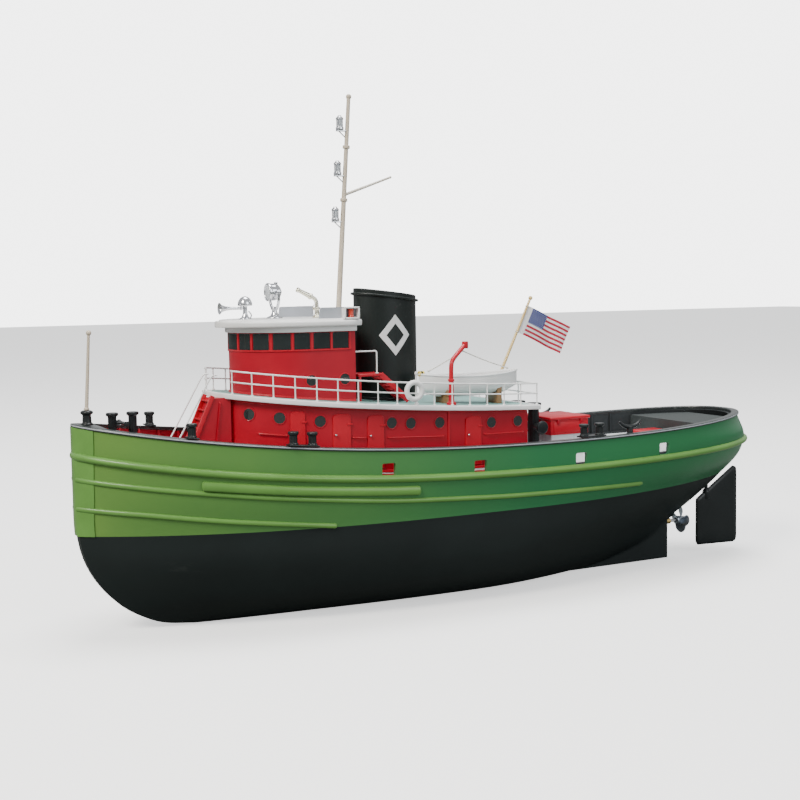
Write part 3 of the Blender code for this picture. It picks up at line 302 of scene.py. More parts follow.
# Lines plan: share of the girth, half breadth, stem, end of the run, and the exponents of
# the entrance and the run, for each waterline from the bottom to the rail.
LINES = np.array([
    [0.00, 13.0, 160.0, -72.0, 2.0, 0.85, 1.9, 0.95],
    [0.08, 22.0, 175.0, -92.0, 2.1, 1.00, 1.8, 1.05],
    [0.17, 31.5, 186.5, -112.0, 2.2, 1.05, 1.7, 1.10],
    [0.27, 41.0, 198.0, -134.0, 2.3, 1.05, 1.7, 1.10],
    [0.38, 48.0, 208.5, -152.0, 2.4, 1.00, 1.8, 1.05],
    [0.48, 51.3, 214.6, -173.0, 2.6, 0.95, 2.0, 0.95],
    [0.58, 53.0, 217.6, -192.5, 2.7, 0.92, 2.2, 0.85],
    [0.70, 55.6, 218.0, -204.6, 2.95, 0.80, 2.7, 0.68],
    [0.80, 56.6, 218.0, -204.5, 3.1, 0.74, 3.2, 0.56],
    [1.00, 57.0, 218.0, -196.8, 3.2, 0.71, 3.4, 0.52],
])
LOW_HEIGHTS = np.array([0.0, 2.0, 6.5, 14.0, 26.0, 38.0, WATERLINE])
FLAT_SHARE, GUARD_SHARE = 0.58, 0.80


def hermite(knots, values, at):
    """Smooth curve through the knots, with the slope at each from its two neighbours."""
    slopes = np.gradient(values, knots)
    at = np.clip(at, knots[0], knots[-1])
    i = np.clip(np.searchsorted(knots, at, side="right") - 1, 0, len(knots) - 2)
    step = knots[i + 1] - knots[i]
    s = (at - knots[i]) / step
    return (values[i] * (1 + 2 * s) * (1 - s) ** 2 + values[i + 1] * s * s * (3 - 2 * s)
            + step * s * (1 - s) * (slopes[i] * (1 - s) - slopes[i + 1] * s))


def sheer(x):
    """Height of the top of the bulwark: a cubic in x."""
    t = x / HALF_LENGTH
    return 86.0 + 4.0 * t + 12.5 * t ** 2 + 2.9 * t ** 3


def guard_height(x):
    """Height of the main guard: a cubic in x."""
    t = x / HALF_LENGTH
    return 72.0 + 4.5 * t + 11.0 * t ** 2 + 3.8 * t ** 3


def deck_height(x):
    """Main deck: the sheer less the height of the bulwark."""
    return sheer(x) - BULWARK


def boat_deck_height(x):
    """Top of the boat deck: a quadratic in x."""
    t = x + 25.0
    return 106.2 + 0.0355 * t + 0.00025 * t ** 2


def hull_height(x, share):
    """Waterline height: level below the painted waterline, then fanned out to guard and sheer."""
    low = hermite(LINES[:7, 0], LOW_HEIGHTS, share)
    guard, rail = guard_height(x), sheer(x)
    mid = WATERLINE + (guard - WATERLINE) * (share - FLAT_SHARE) / (GUARD_SHARE - FLAT_SHARE)
    high = guard + (rail - guard) * (share - GUARD_SHARE) / (1 - GUARD_SHARE)
    return np.where(share <= FLAT_SHARE, low, np.where(share <= GUARD_SHARE, mid, high))


def share_at(x, z):
    """Share of the girth at a height on a station."""
    guard, rail = guard_height(x), sheer(x)
    low = np.interp(z, LOW_HEIGHTS, LINES[:7, 0])
    mid = FLAT_SHARE + (GUARD_SHARE - FLAT_SHARE) * (z - WATERLINE) / (guard - WATERLINE)
    high = GUARD_SHARE + (1 - GUARD_SHARE) * (z - guard) / (rail - guard)
    return np.where(z <= WATERLINE, low, np.where(z <= guard, mid, high))


def hull_breadth(x, share, inset=0.0, keel=DEADWOOD):
    """Half breadth: keel + (width - keel) * (1 - |x / end| ** p) ** e."""
    _, wide, stem, run, p_f, e_f, p_a, e_a = (hermite(LINES[:, 0], column, share) for column in LINES.T)
    u = np.clip(np.where(x > 0, x / (stem - inset), x / (run + inset * 2.5)), 0.0, 1.0)
    body = np.where(x > 0, (1 - u ** p_f) ** e_f, (1 - u ** p_a) ** e_a)
    return keel + (wide - inset - keel) * body


def hull_ends(share, inset=0.0):
    """Aft and fore end of a waterline; outside, the aft end also closes the skeg and the counter."""
    stem = hermite(LINES[:, 0], LINES[:, 2], share) - inset
    run = hermite(LINES[:, 0], LINES[:, 3], share)
    skeg = np.where(share < LINES[4, 0], np.minimum(run, SKEG_END), np.minimum(run, COUNTER_FOOT))
    return (run + inset * 2.5 if inset else skeg), stem


def level_outlines(shares, columns, inset=0.0, keel=DEADWOOD, floor=0.0):
    """Closed outlines of the hull at several shares of the girth, as a grid."""
    even = np.linspace(0, 1, columns)
    spread = 0.5 * (1 - np.cos(math.pi * even)) / 2 + 0.5 * even
    share = np.asarray(shares)[:, None] * np.ones(columns)
    aft, stem = hull_ends(share, inset)
    x = stem + (aft - stem) * spread
    y = hull_breadth(x, share, inset, keel)
    z = np.maximum(hull_height(x, share), floor)
    port = np.stack([x, y, z], axis=-1)
    return np.concatenate([port, port[:, ::-1] * ACROSS], axis=1)


def rim(share, count=260, inset=0.0):
    """One closed outline of the hull, from the stem down the port side and back."""
    return level_outlines([share], count, inset, 0.8 if inset else DEADWOOD)[0]


def side_line(x, z, inset=0.0):
    """Points on the port side of the hull at given stations and heights."""
    y = hull_breadth(x, share_at(x, z), inset, 0.8 if inset else DEADWOOD)
    return np.stack([x, y, z], axis=1)


# ---- materials ------------------------------------------------------------------------
class Flow:
    """A socket that sums, scales and compares like a number by adding Math nodes."""

    def __init__(self, tree, socket):
        self.tree, self.socket = tree, socket

    def math(self, operation, *values):
        node = self.tree.nodes.new("ShaderNodeMath")
        node.operation = operation
        for slot, value in zip(node.inputs, values):
            if isinstance(value, Flow):
                self.tree.links.new(value.socket, slot)
            else:
                slot.default_value = value
        return Flow(self.tree, node.outputs[0])

    def __add__(self, other):
        return self.math("ADD", self, other)

    def __sub__(self, other):
        return self.math("SUBTRACT", self, other)

    def __rsub__(self, other):
        return self.math("SUBTRACT", other, self)

    def __mul__(self, other):
        return self.math("MULTIPLY", self, other)

    def __truediv__(self, other):
        return self.math("DIVIDE", self, other)

    def __gt__(self, other):
        return self.math("GREATER_THAN", self, other)

    def __lt__(self, other):
        return self.math("LESS_THAN", self, other)

    __radd__ = __add__
    __rmul__ = __mul__

    def clamp(self):
        return self.math("MINIMUM", self.math("MAXIMUM", self, 0.0), 1.0)

    def size(self):
        return self.math("ABSOLUTE", self)

    def wave(self):
        return self.math("SINE", self)


class Finish:
    """A node material and the maker of its nodes."""

    def __init__(self, name, roughness=0.4, metallic=0.0, coat=0.0, specular=0.5):
        self.material = bpy.data.materials.new(name)
        self.material.use_nodes = True
        self.tree = self.material.node_tree
        self.shader = self.tree.nodes["Principled BSDF"]
        self.set("Roughness", roughness)
        self.set("Metallic", metallic)
        self.set("Coat Weight", coat)
        self.set("Coat Roughness", 0.12)
        self.set("Specular IOR Level", specular)
        self.place = self.add("TexCoord", out="Object")

    def add(self, kind, settings=None, inputs=None, out=0):
        """One node: its type, its settings, then the values or links of its sockets."""
        node = self.tree.nodes.new("ShaderNode" + kind)
        for key, value in (settings or {}).items():
            if key == "stops":
                ramp = node.color_ramp.elements
                for spot, (at, colour) in zip(ramp, value):
                    spot.position = at
                    spot.color = (*colour, 1.0)
            else:
                setattr(node, key, value)
        for key, value in (inputs or {}).items():
            if isinstance(value, Flow):
                self.tree.links.new(value.socket, node.inputs[key])
            else:
                node.inputs[key].default_value = value
        return Flow(self.tree, node.outputs[out])

    def set(self, socket, value):
        target = self.shader.inputs[socket]
        if isinstance(value, Flow):
            self.tree.links.new(value.socket, target)
        elif isinstance(value, (tuple, list)):
            target.default_value = (*value, 1.0)
        else:
            target.default_value = value
        return self

    def noise(self, scale, detail=3.0, rough=0.55, stretch=(1, 1, 1), vector=None):
        """Noise with features about 1 / scale metres across, from 0 to 1."""
        where = self.place if vector is None else vector
        if tuple(stretch) != (1, 1, 1):
            where = self.add("Mapping", inputs={"Vector": where, "Scale": stretch})
        return self.add("TexNoise", inputs={"Vector": where, "Scale": scale, "Detail": detail,
                                            "Roughness": rough})

    def axis(self, name):
        return self.add("SeparateXYZ", inputs={"Vector": self.place}, out=name)

    def mix(self, factor, a, b):
        """Colour a at 0, colour b at 1."""
        node = self.tree.nodes.new("ShaderNodeMix")
        node.data_type = "RGBA"
        for index, value in ((0, factor), (6, a), (7, b)):
            if isinstance(value, Flow):
                self.tree.links.new(value.socket, node.inputs[index])
            else:
                node.inputs[index].default_value = (*value, 1.0) if isinstance(value, tuple) else value
        return Flow(self.tree, node.outputs[2])

    def bump(self, height, strength, reach):
        inputs = {"Height": height, "Strength": strength, "Distance": reach}
        return self.set("Normal", self.add("Bump", inputs=inputs, out="Normal"))


def scaled(colour, by):
    """Colour times a number, held to 1."""
    return tuple(min(c * by, 1.0) for c in colour)


def brushed_paint(name, colour, roughness=0.35, coat=0.25, wear=0.5, grain=0.00004, speck=0.12, specular=0.3):
    """Model paint: cloudy tone, fine brush marks, small pale rubs and a few dust specks."""
    f = Finish(name, roughness, coat=coat * 0.35, specular=specular)
    cloud = f.noise(38.0, 4.0)
    marks = f.noise(420.0, 3.0, stretch=(1.0, 1.0, 0.35))
    rubs = ((f.noise(95.0, 6.0, 0.7) - 0.66) * 9.0).clamp() * wear
    dust = ((f.noise(1500.0, 2.0) - 0.70) * 8.0).clamp() * speck
    tone = f.mix((cloud - 0.25) * 1.9, scaled(colour, 0.84), scaled(colour, 1.12))
    pale = tuple(0.55 * c + 0.45 * 0.62 for c in colour)
    tone = f.mix(rubs * 0.22, tone, pale)
    f.set("Base Color", f.mix(dust, tone, pale))
    f.set("Roughness", (roughness + (cloud - 0.5) * 0.16 + rubs * 0.14 + (marks - 0.5) * 0.08).clamp())
    f.bump(marks + cloud * 0.8, 0.35, grain)
    return f.material


# Lit and shaded copies of the topside green: the bow one holds a painted highlight, the aft one painted
# shade.
GREEN_SHADED_AFT = (0.022, 0.165, 0.060)
GREEN_LIT_BOW = (0.125, 0.250, 0.050)
BLACK = (0.010, 0.014, 0.014)
RED = (0.370, 0.003, 0.016)


def hull_paint():
    """Green above the painted waterline and black below it; the green is painted lighter and yellower towards
    the bow as a painted highlight from the key lamp, and darker aft as painted shade.
    """
    f = Finish("hull_two_tone", 0.36, specular=0.25)
    cloud = f.noise(26.0, 4.0)
    marks = f.noise(360.0, 3.0, stretch=(0.25, 1.0, 1.0))
    scuffs = ((f.noise(70.0, 7.0, 0.72, stretch=(0.3, 1.0, 1.6)) - 0.64) * 8.0).clamp()
    # Painted light: the green blends along X from the shaded aft copy to the lit bow copy.
    ahead = ((f.axis("X") + 0.02) / 0.23).clamp()
    green = f.mix(ahead, GREEN_SHADED_AFT, GREEN_LIT_BOW)
    green = f.mix((cloud - 0.3) * 0.5, green, scaled(GREEN_SHADED_AFT, 0.75))
    green = f.mix(scuffs * 0.10, green, (0.30, 0.38, 0.20))
    black = f.mix(cloud, scaled(BLACK, 0.8), scaled(BLACK, 1.5))
    black = f.mix(scuffs * 0.12, black, (0.12, 0.13, 0.12))
    above = ((f.axis("Z") - WATERLINE * MM) / 0.0002 + 0.5).clamp()
    f.set("Base Color", f.mix(above, black, green))
    f.set("Roughness", (0.52 - above * 0.18 + (cloud - 0.5) * 0.12 + scuffs * 0.12).clamp())
    f.set("Coat Weight", above * 0.12)
    f.bump(marks + cloud, 0.3, 0.00005)
    return f.material


def worn_rail():
    """Black paint, rubbed to pale grey in small patches."""
    f = Finish("rail_black", 0.34, coat=0.3)
    cloud = f.noise(60.0, 5.0)
    rub = ((f.noise(240.0, 6.0, 0.7) - 0.58) * 6.0).clamp()
    f.set("Base Color", f.mix(rub * 0.25, f.mix(cloud, scaled(BLACK, 0.8), scaled(BLACK, 1.8)),
                              (0.20, 0.21, 0.21)))
    f.set("Roughness", (0.30 + cloud * 0.15 + rub * 0.12).clamp())
    f.bump(cloud, 0.3, 0.00004)
    return f.material


def bulwark_inside():
    """Inside of the bulwark: red from the bow to the aft end of the deckhouse, black astern of it."""
    f = Finish("bulwark_inside", 0.5, specular=0.3)
    cloud = f.noise(48.0, 5.0)
    marks = f.noise(420.0, 3.0, stretch=(0.3, 1.0, 1.0))
    ahead = ((f.axis("X") + 0.030) / 0.0003).clamp()
    black = f.mix(cloud, (0.012, 0.015, 0.016), (0.030, 0.035, 0.038))
    red = f.mix(cloud, scaled(RED, 0.62), scaled(RED, 0.95))
    f.set("Base Color", f.mix(ahead, black, red))
    f.set("Roughness", (0.46 + cloud * 0.14 + (marks - 0.5) * 0.08).clamp())
    f.bump(marks + cloud, 0.35, 0.00005)
    return f.material


def planked(name, colour, width=0.0035, roughness=0.5):
    """Painted deck scribed into planks: thin dark seams every width along Y, butts staggered along X."""
    f = Finish(name, roughness)
    cloud = f.noise(30.0, 5.0)
    grain = f.noise(260.0, 4.0, stretch=(0.12, 1.0, 1.0))
    across = f.axis("Y") / width
    seam = ((across.math("FRACT", across) - 0.5).size() - 0.455) * 24.0
    row = across.math("FLOOR", across)
    along = f.axis("X") / 0.034 + row * 0.37
    butt = ((along.math("FRACT", along) - 0.5).size() - 0.490) * 80.0
    line = seam.math("MAXIMUM", seam.clamp(), butt.clamp())
    stain = ((f.noise(18.0, 6.0, 0.7) - 0.55) * 4.0).clamp()
    tone = f.mix(cloud, scaled(colour, 0.86), scaled(colour, 1.08))
    tone = f.mix(stain * 0.25, tone, scaled(colour, 0.6))
    f.set("Base Color", f.mix(line * 0.55, tone, scaled(colour, 0.25)))
    f.set("Roughness", (roughness + grain * 0.15 + line * 0.1).clamp())
    f.bump(grain * 0.35 - line, 0.5, 0.00012)
    return f.material


def bare_metal(name, colour, roughness=0.2, streak=(1, 1, 1), tarnish=0.25):
    """Bright metal with fine streaks and a little tarnish in patches."""
    f = Finish(name, roughness, metallic=1.0)
    cloud = f.noise(150.0, 5.0)
    scratch = f.noise(1300.0, 3.0, stretch=streak)
    dull = ((f.noise(85.0, 6.0, 0.7) - 0.55) * 5.0).clamp() * tarnish
    tone = f.mix(dull, f.mix(cloud, scaled(colour, 0.9), scaled(colour, 1.05)), scaled(colour, 0.55))
    f.set("Base Color", tone)
    f.set("Roughness", (roughness + dull * 0.35 + (scratch - 0.5) * 0.12).clamp())
    f.bump(scratch, 0.25, 0.00002)
    return f.material


def dowel_wood(name, colour, darker, stretch):
    """Straight-grained dowel: noise drawn out along the stick, under a thin varnish."""
    f = Finish(name, 0.42, coat=0.35)
    grain = f.noise(1100.0, 5.0, 0.6, stretch=stretch)
    broad = f.noise(160.0, 3.0, stretch=stretch)
    streak = ((grain - 0.5) * 2.6 + 0.5).clamp()
    f.set("Base Color", f.mix(streak * 0.45 + broad * 0.3, colour, darker))
    f.set("Roughness", (0.36 + grain * 0.16).clamp())
    f.bump(grain, 0.35, 0.00004)
    return f.material


def moulded(name, colour, roughness=0.45, grain=0.00003):
    """Moulded plastic: a fine spark-eroded grain and a slight cloud."""
    f = Finish(name, roughness)
    spark = f.noise(2600.0, 2.0)
    cloud = f.noise(45.0, 4.0)
    f.set("Base Color", f.mix(cloud, scaled(colour, 0.85), scaled(colour, 1.15)))
    f.set("Roughness", (roughness + (spark - 0.5) * 0.18 + (cloud - 0.5) * 0.08).clamp())
    f.bump(spark, 0.4, grain)
    return f.material


def dark_glass():
    """Glazing over a dark cabin: smooth, nearly black, a little uneven."""
    f = Finish("window_glass", 0.06, coat=0.6, specular=0.6)
    cloud = f.noise(28.0, 2.0)
    smear = ((f.noise(120.0, 5.0, 0.7) - 0.5) * 3.0).clamp()
    f.set("Base Color", f.mix(cloud, (0.010, 0.014, 0.015), (0.026, 0.033, 0.033)))
    f.set("Roughness", (0.05 + smear * 0.10).clamp())
    f.bump(cloud, 0.12, 0.0001)
    return f.material


def lens(name, colour):
    """Cast lens: bright, clear colour with fine rings along the lamp's height."""
    f = Finish(name, 0.12, coat=0.8)
    rings = (f.axis("Z") * 6200.0).wave()
    cloud = f.noise(200.0, 3.0)
    f.set("Base Color", f.mix(cloud * 0.5 + rings * 0.2 + 0.2, scaled(colour, 0.7), colour))
    f.set("Roughness", (0.10 + cloud * 0.08).clamp())
    f.bump(rings, 0.4, 0.00006)
    return f.material


def cloth_flag():
    """Pale sleeve at the hoist, seven red stripes and a blue canton of staggered dots, over a plain weave."""
    f = Finish("flag_cloth", 0.85, specular=0.15)
    place = f.add("UVMap", {"uv_map": "cloth"})
    along = f.add("SeparateXYZ", inputs={"Vector": place}, out="X")
    up = f.add("SeparateXYZ", inputs={"Vector": place}, out="Y")
    across = (along - 0.11) / 0.89
    band = (up * 13.0).math("FLOOR", up * 13.0)
    stripe = band.math("MODULO", band, 2.0) < 0.5
    white = (0.80, 0.80, 0.82)
    cloth = f.mix(stripe, white, (0.46, 0.018, 0.045))
    px, row = across * 20.0, (up - 6.0 / 13.0) * 16.0
    shift = row.math("MODULO", row.math("FLOOR", row), 2.0) * 0.5
    dx = px.math("FRACT", px + shift) - 0.5
    dy = row.math("FRACT", row) - 0.5
    dot = (dx * dx + dy * dy) < 0.055
    cloth = f.mix((across < 0.42) * (up > 6.0 / 13.0), cloth,
                  f.mix(dot, (0.010, 0.022, 0.190), (0.66, 0.68, 0.74)))
    cloth = f.mix(across < 0.0, cloth, (0.86, 0.86, 0.88))
    weave = (along * 620.0).wave() * (up * 330.0).wave()
    cloud = f.noise(300.0, 4.0)
    f.set("Base Color", f.mix(cloud * 0.08, cloth, (0.40, 0.38, 0.38)))
    f.set("Roughness", (0.80 + weave * 0.08).clamp())
    f.bump(weave + cloud, 0.5, 0.00006)
    return f.material


def twisted_line():
    """Thin laid line: diagonal strands."""
    f = Finish("laid_line", 0.8)
    strand = ((f.axis("X") + f.axis("Z") * 1.3) * 5200.0).wave()
    cloud = f.noise(400.0, 3.0)
    f.set("Base Color", f.mix(strand * 0.3 + 0.35, (0.62, 0.60, 0.54), (0.80, 0.79, 0.74)))
    f.set("Roughness", (0.72 + cloud * 0.15).clamp())
    f.bump(strand, 0.5, 0.00008)
    return f.material


def pale_ground():
    """Pale floor that the camera sees bright; it throws little light back up under the hull."""
    f = Finish("studio_ground", 0.9, specular=0.0)
    f.set("Base Color", f.mix(f.noise(3.0, 2.0), (0.88, 0.88, 0.88), (0.90, 0.90, 0.90)))
    f.set("Emission Color", (1.0, 1.0, 1.0)).set("Emission Strength", 0.9)
    dull = f.add("BsdfDiffuse", inputs={"Color": (0.16, 0.17, 0.16, 1.0)}, out="BSDF")
    seen = f.add("LightPath", out="Is Camera Ray")
    blend = f.add("MixShader", inputs={0: seen, 1: dull, 2: Flow(f.tree, f.shader.outputs[0])})
    f.tree.links.new(blend.socket, f.tree.nodes["Material Output"].inputs["Surface"])
    return f.material


HULL = hull_paint()
RAIL_BLACK = worn_rail()
PALE_GREEN = brushed_paint("strake_green", (0.115, 0.270, 0.055), 0.34, 0.35)
INSIDE = bulwark_inside()
GLOSS_BLACK = brushed_paint("fitting_black", (0.012, 0.015, 0.016), 0.36, 0.2)
STACK_BLACK = brushed_paint("funnel_black", (0.008, 0.012, 0.011), 0.42, 0.1)
CABIN_RED = brushed_paint("cabin_red", RED, 0.36, 0.3, wear=0.3, speck=0.05)
TRIM_RED = brushed_paint("trim_red", (0.46, 0.007, 0.020), 0.34, 0.3, wear=0.3)
GLOSS_WHITE = brushed_paint("rail_white", (0.80, 0.80, 0.80), 0.32, 0.3, wear=0.2, speck=0.03)
LINEN_WHITE = brushed_paint("mark_white", (0.74, 0.75, 0.76), 0.42, 0.1, wear=0.2)
BOARD_GREY = brushed_paint("board_grey", (0.36, 0.38, 0.42), 0.4, 0.1)
PLANK_GREY = planked("deck_planks", (0.60, 0.63, 0.65))
PLATFORM_GREY = planked("platform_planks", (0.030, 0.038, 0.038), 0.0042, 0.6)
SEA_GREEN = brushed_paint("boat_deck_green", (0.215, 0.385, 0.360), 0.5, 0.0)
BRIGHT = bare_metal("plated_fittings", (0.72, 0.73, 0.76), 0.16)
STEEL = bare_metal("drawn_steel", (0.60, 0.60, 0.62), 0.28, (0.2, 1, 1))
BRASS = bare_metal("turned_brass", (0.76, 0.55, 0.24), 0.25)
PALE_BRASS = bare_metal("monitor_brass", (0.86, 0.82, 0.66), 0.24)
CAST = bare_metal("cast_propeller", (0.42, 0.47, 0.53), 0.34)
MAST_WOOD = dowel_wood("mast_dowel", (0.62, 0.55, 0.45), (0.42, 0.33, 0.23), (1.0, 1.0, 0.04))
STAFF_WOOD = dowel_wood("staff_dowel", (0.72, 0.53, 0.22), (0.50, 0.32, 0.10), (0.3, 1.0, 0.1))
BOOM_WOOD = dowel_wood("boom_dowel", (0.66, 0.62, 0.55), (0.48, 0.42, 0.34), (0.06, 1.0, 0.3))
CHOCK_WOOD = dowel_wood("chock_wood", (0.30, 0.17, 0.07), (0.16, 0.08, 0.03), (1.0, 0.1, 1.0))
BLACK_PLASTIC = moulded("black_moulding", (0.022, 0.022, 0.024))
WHITE_PLASTIC = moulded("white_moulding", (0.72, 0.72, 0.70))
RED_PLASTIC = moulded("red_moulding", (0.45, 0.02, 0.02))
BLUE_WRAP = moulded("blue_wrap", (0.05, 0.11, 0.33), 0.22)
YELLOW = brushed_paint("bow_fitting_yellow", (0.72, 0.55, 0.08), 0.4, 0.2)
GLASS = dark_glass()
RED_LENS = lens("red_lens", (0.75, 0.05, 0.02))
GREEN_LENS = lens("green_lens", (0.04, 0.42, 0.12))
CLEAR_LENS = lens("clear_lens", (0.72, 0.76, 0.80))
FLAG_CLOTH = cloth_flag()
LINE = twisted_line()

CARRIED = {
    "main_deck": PLANK_GREY, "fantail_deck": PLATFORM_GREY, "motor": STEEL, "motor_mount": BLACK_PLASTIC,
    "shaft_coupling": BRASS, "prop_shaft": STEEL, "stern_tube": BRASS, "rudder_tube": BRASS,
    "tiller_arm": STEEL, "servo": BLACK_PLASTIC, "servo_horn": WHITE_PLASTIC, "pushrod": STEEL,
    "battery": BLUE_WRAP, "speed_controller": BLACK_PLASTIC, "receiver": BLACK_PLASTIC,
    "power_switch": BLACK_PLASTIC, "switch_slider": RED_PLASTIC,
}
for node, finish in CARRIED.items():
    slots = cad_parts[node].data.materials
    slots.clear()
    slots.append(finish)


# ---- hull -----------------------------------------------------------------------------
def make_hull():
    """Shell: outlines up the outside to the rail, then down the inside to the floor."""
    outer = np.linspace(0, 1, 64)
    inner = np.linspace(1, 0.08, 18)
    grid = np.concatenate([level_outlines(outer, 190), level_outlines(inner, 190, SHELL, 0.8, FLOOR)])
    paint = np.where(np.arange(len(grid)) < len(outer) - 1, 0, 1)
    hull = Shape().skin(grid, caps="ladder", paint=paint)
    hull = hull.make("hull_skin", [HULL, INSIDE], "hull", "hull_paint", "hull_shell")
    ports = Shape()
    for x in (71.8, 18.3, -46.3, -106.2):
        low = deck_height(x) + 0.4
        block(ports, (x - 3.7, -70, low), (x + 3.7, 70, low + 6.6), 0.8)
    block(ports, (COUNTER_FOOT - 2, -2.1, 20.3), (-100, 2.1, 24.5), 1.6)
    block(ports, (-185.4, -2.4, 38), (-180.6, 2.4, 62), 1.2)
    carve(hull, ports)
    return hull


def carve(thing, cutters):
    """Take cutter blocks out of a piece and keep the result as its mesh."""
    mesh = bpy.data.meshes.new("cutter")
    points = np.concatenate(cutters.points) * MM
    mesh.from_pydata(points.tolist(), [], [tuple(f) for faces in cutters.faces for f in faces.tolist()])
    tool = bpy.data.objects.new("cutter", mesh)
    bpy.context.scene.collection.objects.link(tool)
    step = thing.modifiers.new("ports", "BOOLEAN")
    step.operation = "DIFFERENCE"
    step.solver = "EXACT"
    step.object = tool
    bpy.context.view_layer.update()
    solid = bpy.data.meshes.new_from_object(thing.evaluated_get(bpy.context.evaluated_depsgraph_get()))
    thing.modifiers.clear()
    thing.data = solid
    bpy.data.objects.remove(tool)
    solid.shade_smooth()
    solid.set_sharp_from_angle(angle=math.radians(32))


def make_mouldings():
    """Guard, strakes and stem band: rounded strips carried along lines on the hull."""
    half_round = rounded([(-0.6, -2.0), (1.4, -1.9), (2.6, 0.0), (1.4, 1.9), (-0.6, 2.0)], 1.3, True)
    guard = Shape()
    path = rim(GUARD_SHARE, 300)
    band(guard, path, half_round, normals=stem_eased(path))
    guard.make("guard_moulding", PALE_GREEN, "hull", "guard_paint", "main_guard")

    strips = Shape()
    small = rounded([(-0.7, -1.5), (0.75, -1.25), (1.25, 0.0), (0.75, 1.25), (-0.7, 1.5)], 0.8, True)
    heavy = rounded([(-0.8, -2.6), (1.5, -2.3), (2.1, -0.6), (2.1, 0.8), (1.5, 2.3), (-0.8, 2.6)], 0.7, True)
    runs = (
        ([218.0, 188.0, 130.0, 66.0, 0.0, -94.0], [79.7, 75.6, 68.6, 62.6, 59.4, 57.7], small),
        ([218.0, 189.0, 150.0, 98.0], [65.1, 62.3, 57.4, 51.9], small),
        ([165.0, 120.0, 74.0, 54.0], [76.6, 71.9, 68.5, 67.4], heavy),
    )
    for stations_x, heights, section in runs:
        x = np.linspace(stations_x[0], stations_x[-1], 150)
        z = np.interp(x, stations_x[::-1], heights[::-1])
        smooth = np.ones(15) / 15
        z = np.convolve(np.pad(z, 7, mode="reflect", reflect_type="odd"), smooth, mode="valid")
        x = np.minimum(x, hull_ends(share_at(x, z))[1] - 0.05)
        ends = np.minimum(x - stations_x[-1], 300.0 if stations_x[0] > 200 else stations_x[0] - x)
        taper = np.clip(ends / 1.6 + 0.55, 0.55, 1.0) ** 0.7
        band(strips, side_line(x, z), section, closed=False, scale=taper)
    share = share_at(np.full(60, 215.0), np.linspace(WATERLINE, sheer(216.0), 60))
    stem = hull_ends(share)[1]
    z = hull_height(stem, share)
    strips.mirrored()
    reach = np.array([-6.5, -6.5, -3.0, 0.5, 0.9])
    side = np.stack([hull_breadth(stem - 6.5, share) - 0.8, hull_breadth(stem - 6.5, share) + 0.75,
                     hull_breadth(stem - 3.0, share) + 0.85, np.full(60, 3.5), np.full(60, 2.6)], axis=1)
    ahead = np.concatenate([reach, reach[::-1]])
    across = np.concatenate([side, -side[:, ::-1]], axis=1)
    grid = np.stack([stem[:, None] + ahead, across, np.broadcast_to(z[:, None], across.shape)], axis=-1)
    strips.skin(grid)
    strips.make("strakes", PALE_GREEN, "hull", "guard_paint")


def stem_eased(path):
    """Plan normals whose reach falls off in the last few millimetres before the stem."""
    normals = plan_normals(path, True)
    near = np.clip((path[:, 0] - (path[:, 0].max() - 6.0)) / 6.0, 0, 1)[:, None]
    return normals * (1 - 0.35 * near)


def make_cap_rail():
    """Flat rail with rounded edges, a plate across it at the stem and a pale grey strip on its outer edge
    that is a painted highlight.
    """
    rail = Shape()
    path = rim(1.0, 300)
    top = RAIL_THICK + 0.3
    section = rounded([(-3.6, -0.25), (0.9, 0.2), (0.9, top), (-3.6, top)], 0.45, True)
    band(rail, path, section, normals=stem_eased(path))
    x = np.linspace(215.0, 203.5, 24)
    slab(rail, x, hull_breadth(x, np.ones(24)) - 1.5, sheer(x) + 0.4, sheer(x) + 0.28 + RAIL_THICK, 0.3)
    rail.make("cap_rail", RAIL_BLACK, "hull", "black_paint", "bulwark_cap_rail")
    # Pale grey strip along the outer edge: a painted highlight where the rounded black edge catches the
    # light.
    edge = Shape()
    strip = rounded([(0.72, 0.75), (1.0, 0.75), (1.0, 1.35), (0.72, 1.35)], 0.12, True)
    band(edge, path, strip, normals=stem_eased(path))
    edge.make("rail_edge_painted_highlight", BOARD_GREY, "hull", "black_paint")


def make_waterway():
    """Low kerb along the joint of deck and bulwark, and the bulwark stays: wedges wider at the foot."""
    kerb = Shape()
    x = stations(-150.0, 209.0, 200)
    line = side_line(x, deck_height(x), SHELL)
    section = rounded([(-3.4, -0.2), (0.6, -0.2), (0.6, 1.0), (-3.4, 1.0)], 0.3, True)
    band(kerb, line, section, closed=False)
    kerb.mirrored()
    kerb.make("deck_waterway", INSIDE, "hull", "black_paint")
    ribs = Shape()
    for at in np.concatenate([np.arange(-140.0, -100.0, 12.5), np.arange(-92.0, -50.0, 12.5),
                              np.arange(-34.0, 14.0, 11.5), np.arange(28.0, 66.0, 12.0),
                              np.arange(80.0, 190.0, 12.0)]):
        z = np.linspace(deck_height(at), sheer(at) + 0.2, 8)
        wall = side_line(np.full(8, at), z, SHELL)
        foot = wall + np.array([0, -1.0, 0]) * (2.2 - 1.4 * np.linspace(0, 1, 8))[:, None]
        lean = np.stack([wall + [0, 0.4, 0], foot], axis=1)
        grid = np.concatenate([lean + [-0.5, 0, 0], lean[:, ::-1] + [0.5, 0, 0]], axis=1)
        ribs.skin(grid)
    ribs.mirrored()
    ribs.make("bulwark_stays", INSIDE, "hull", "black_paint")


make_hull()
make_mouldings()
make_cap_rail()
make_waterway()


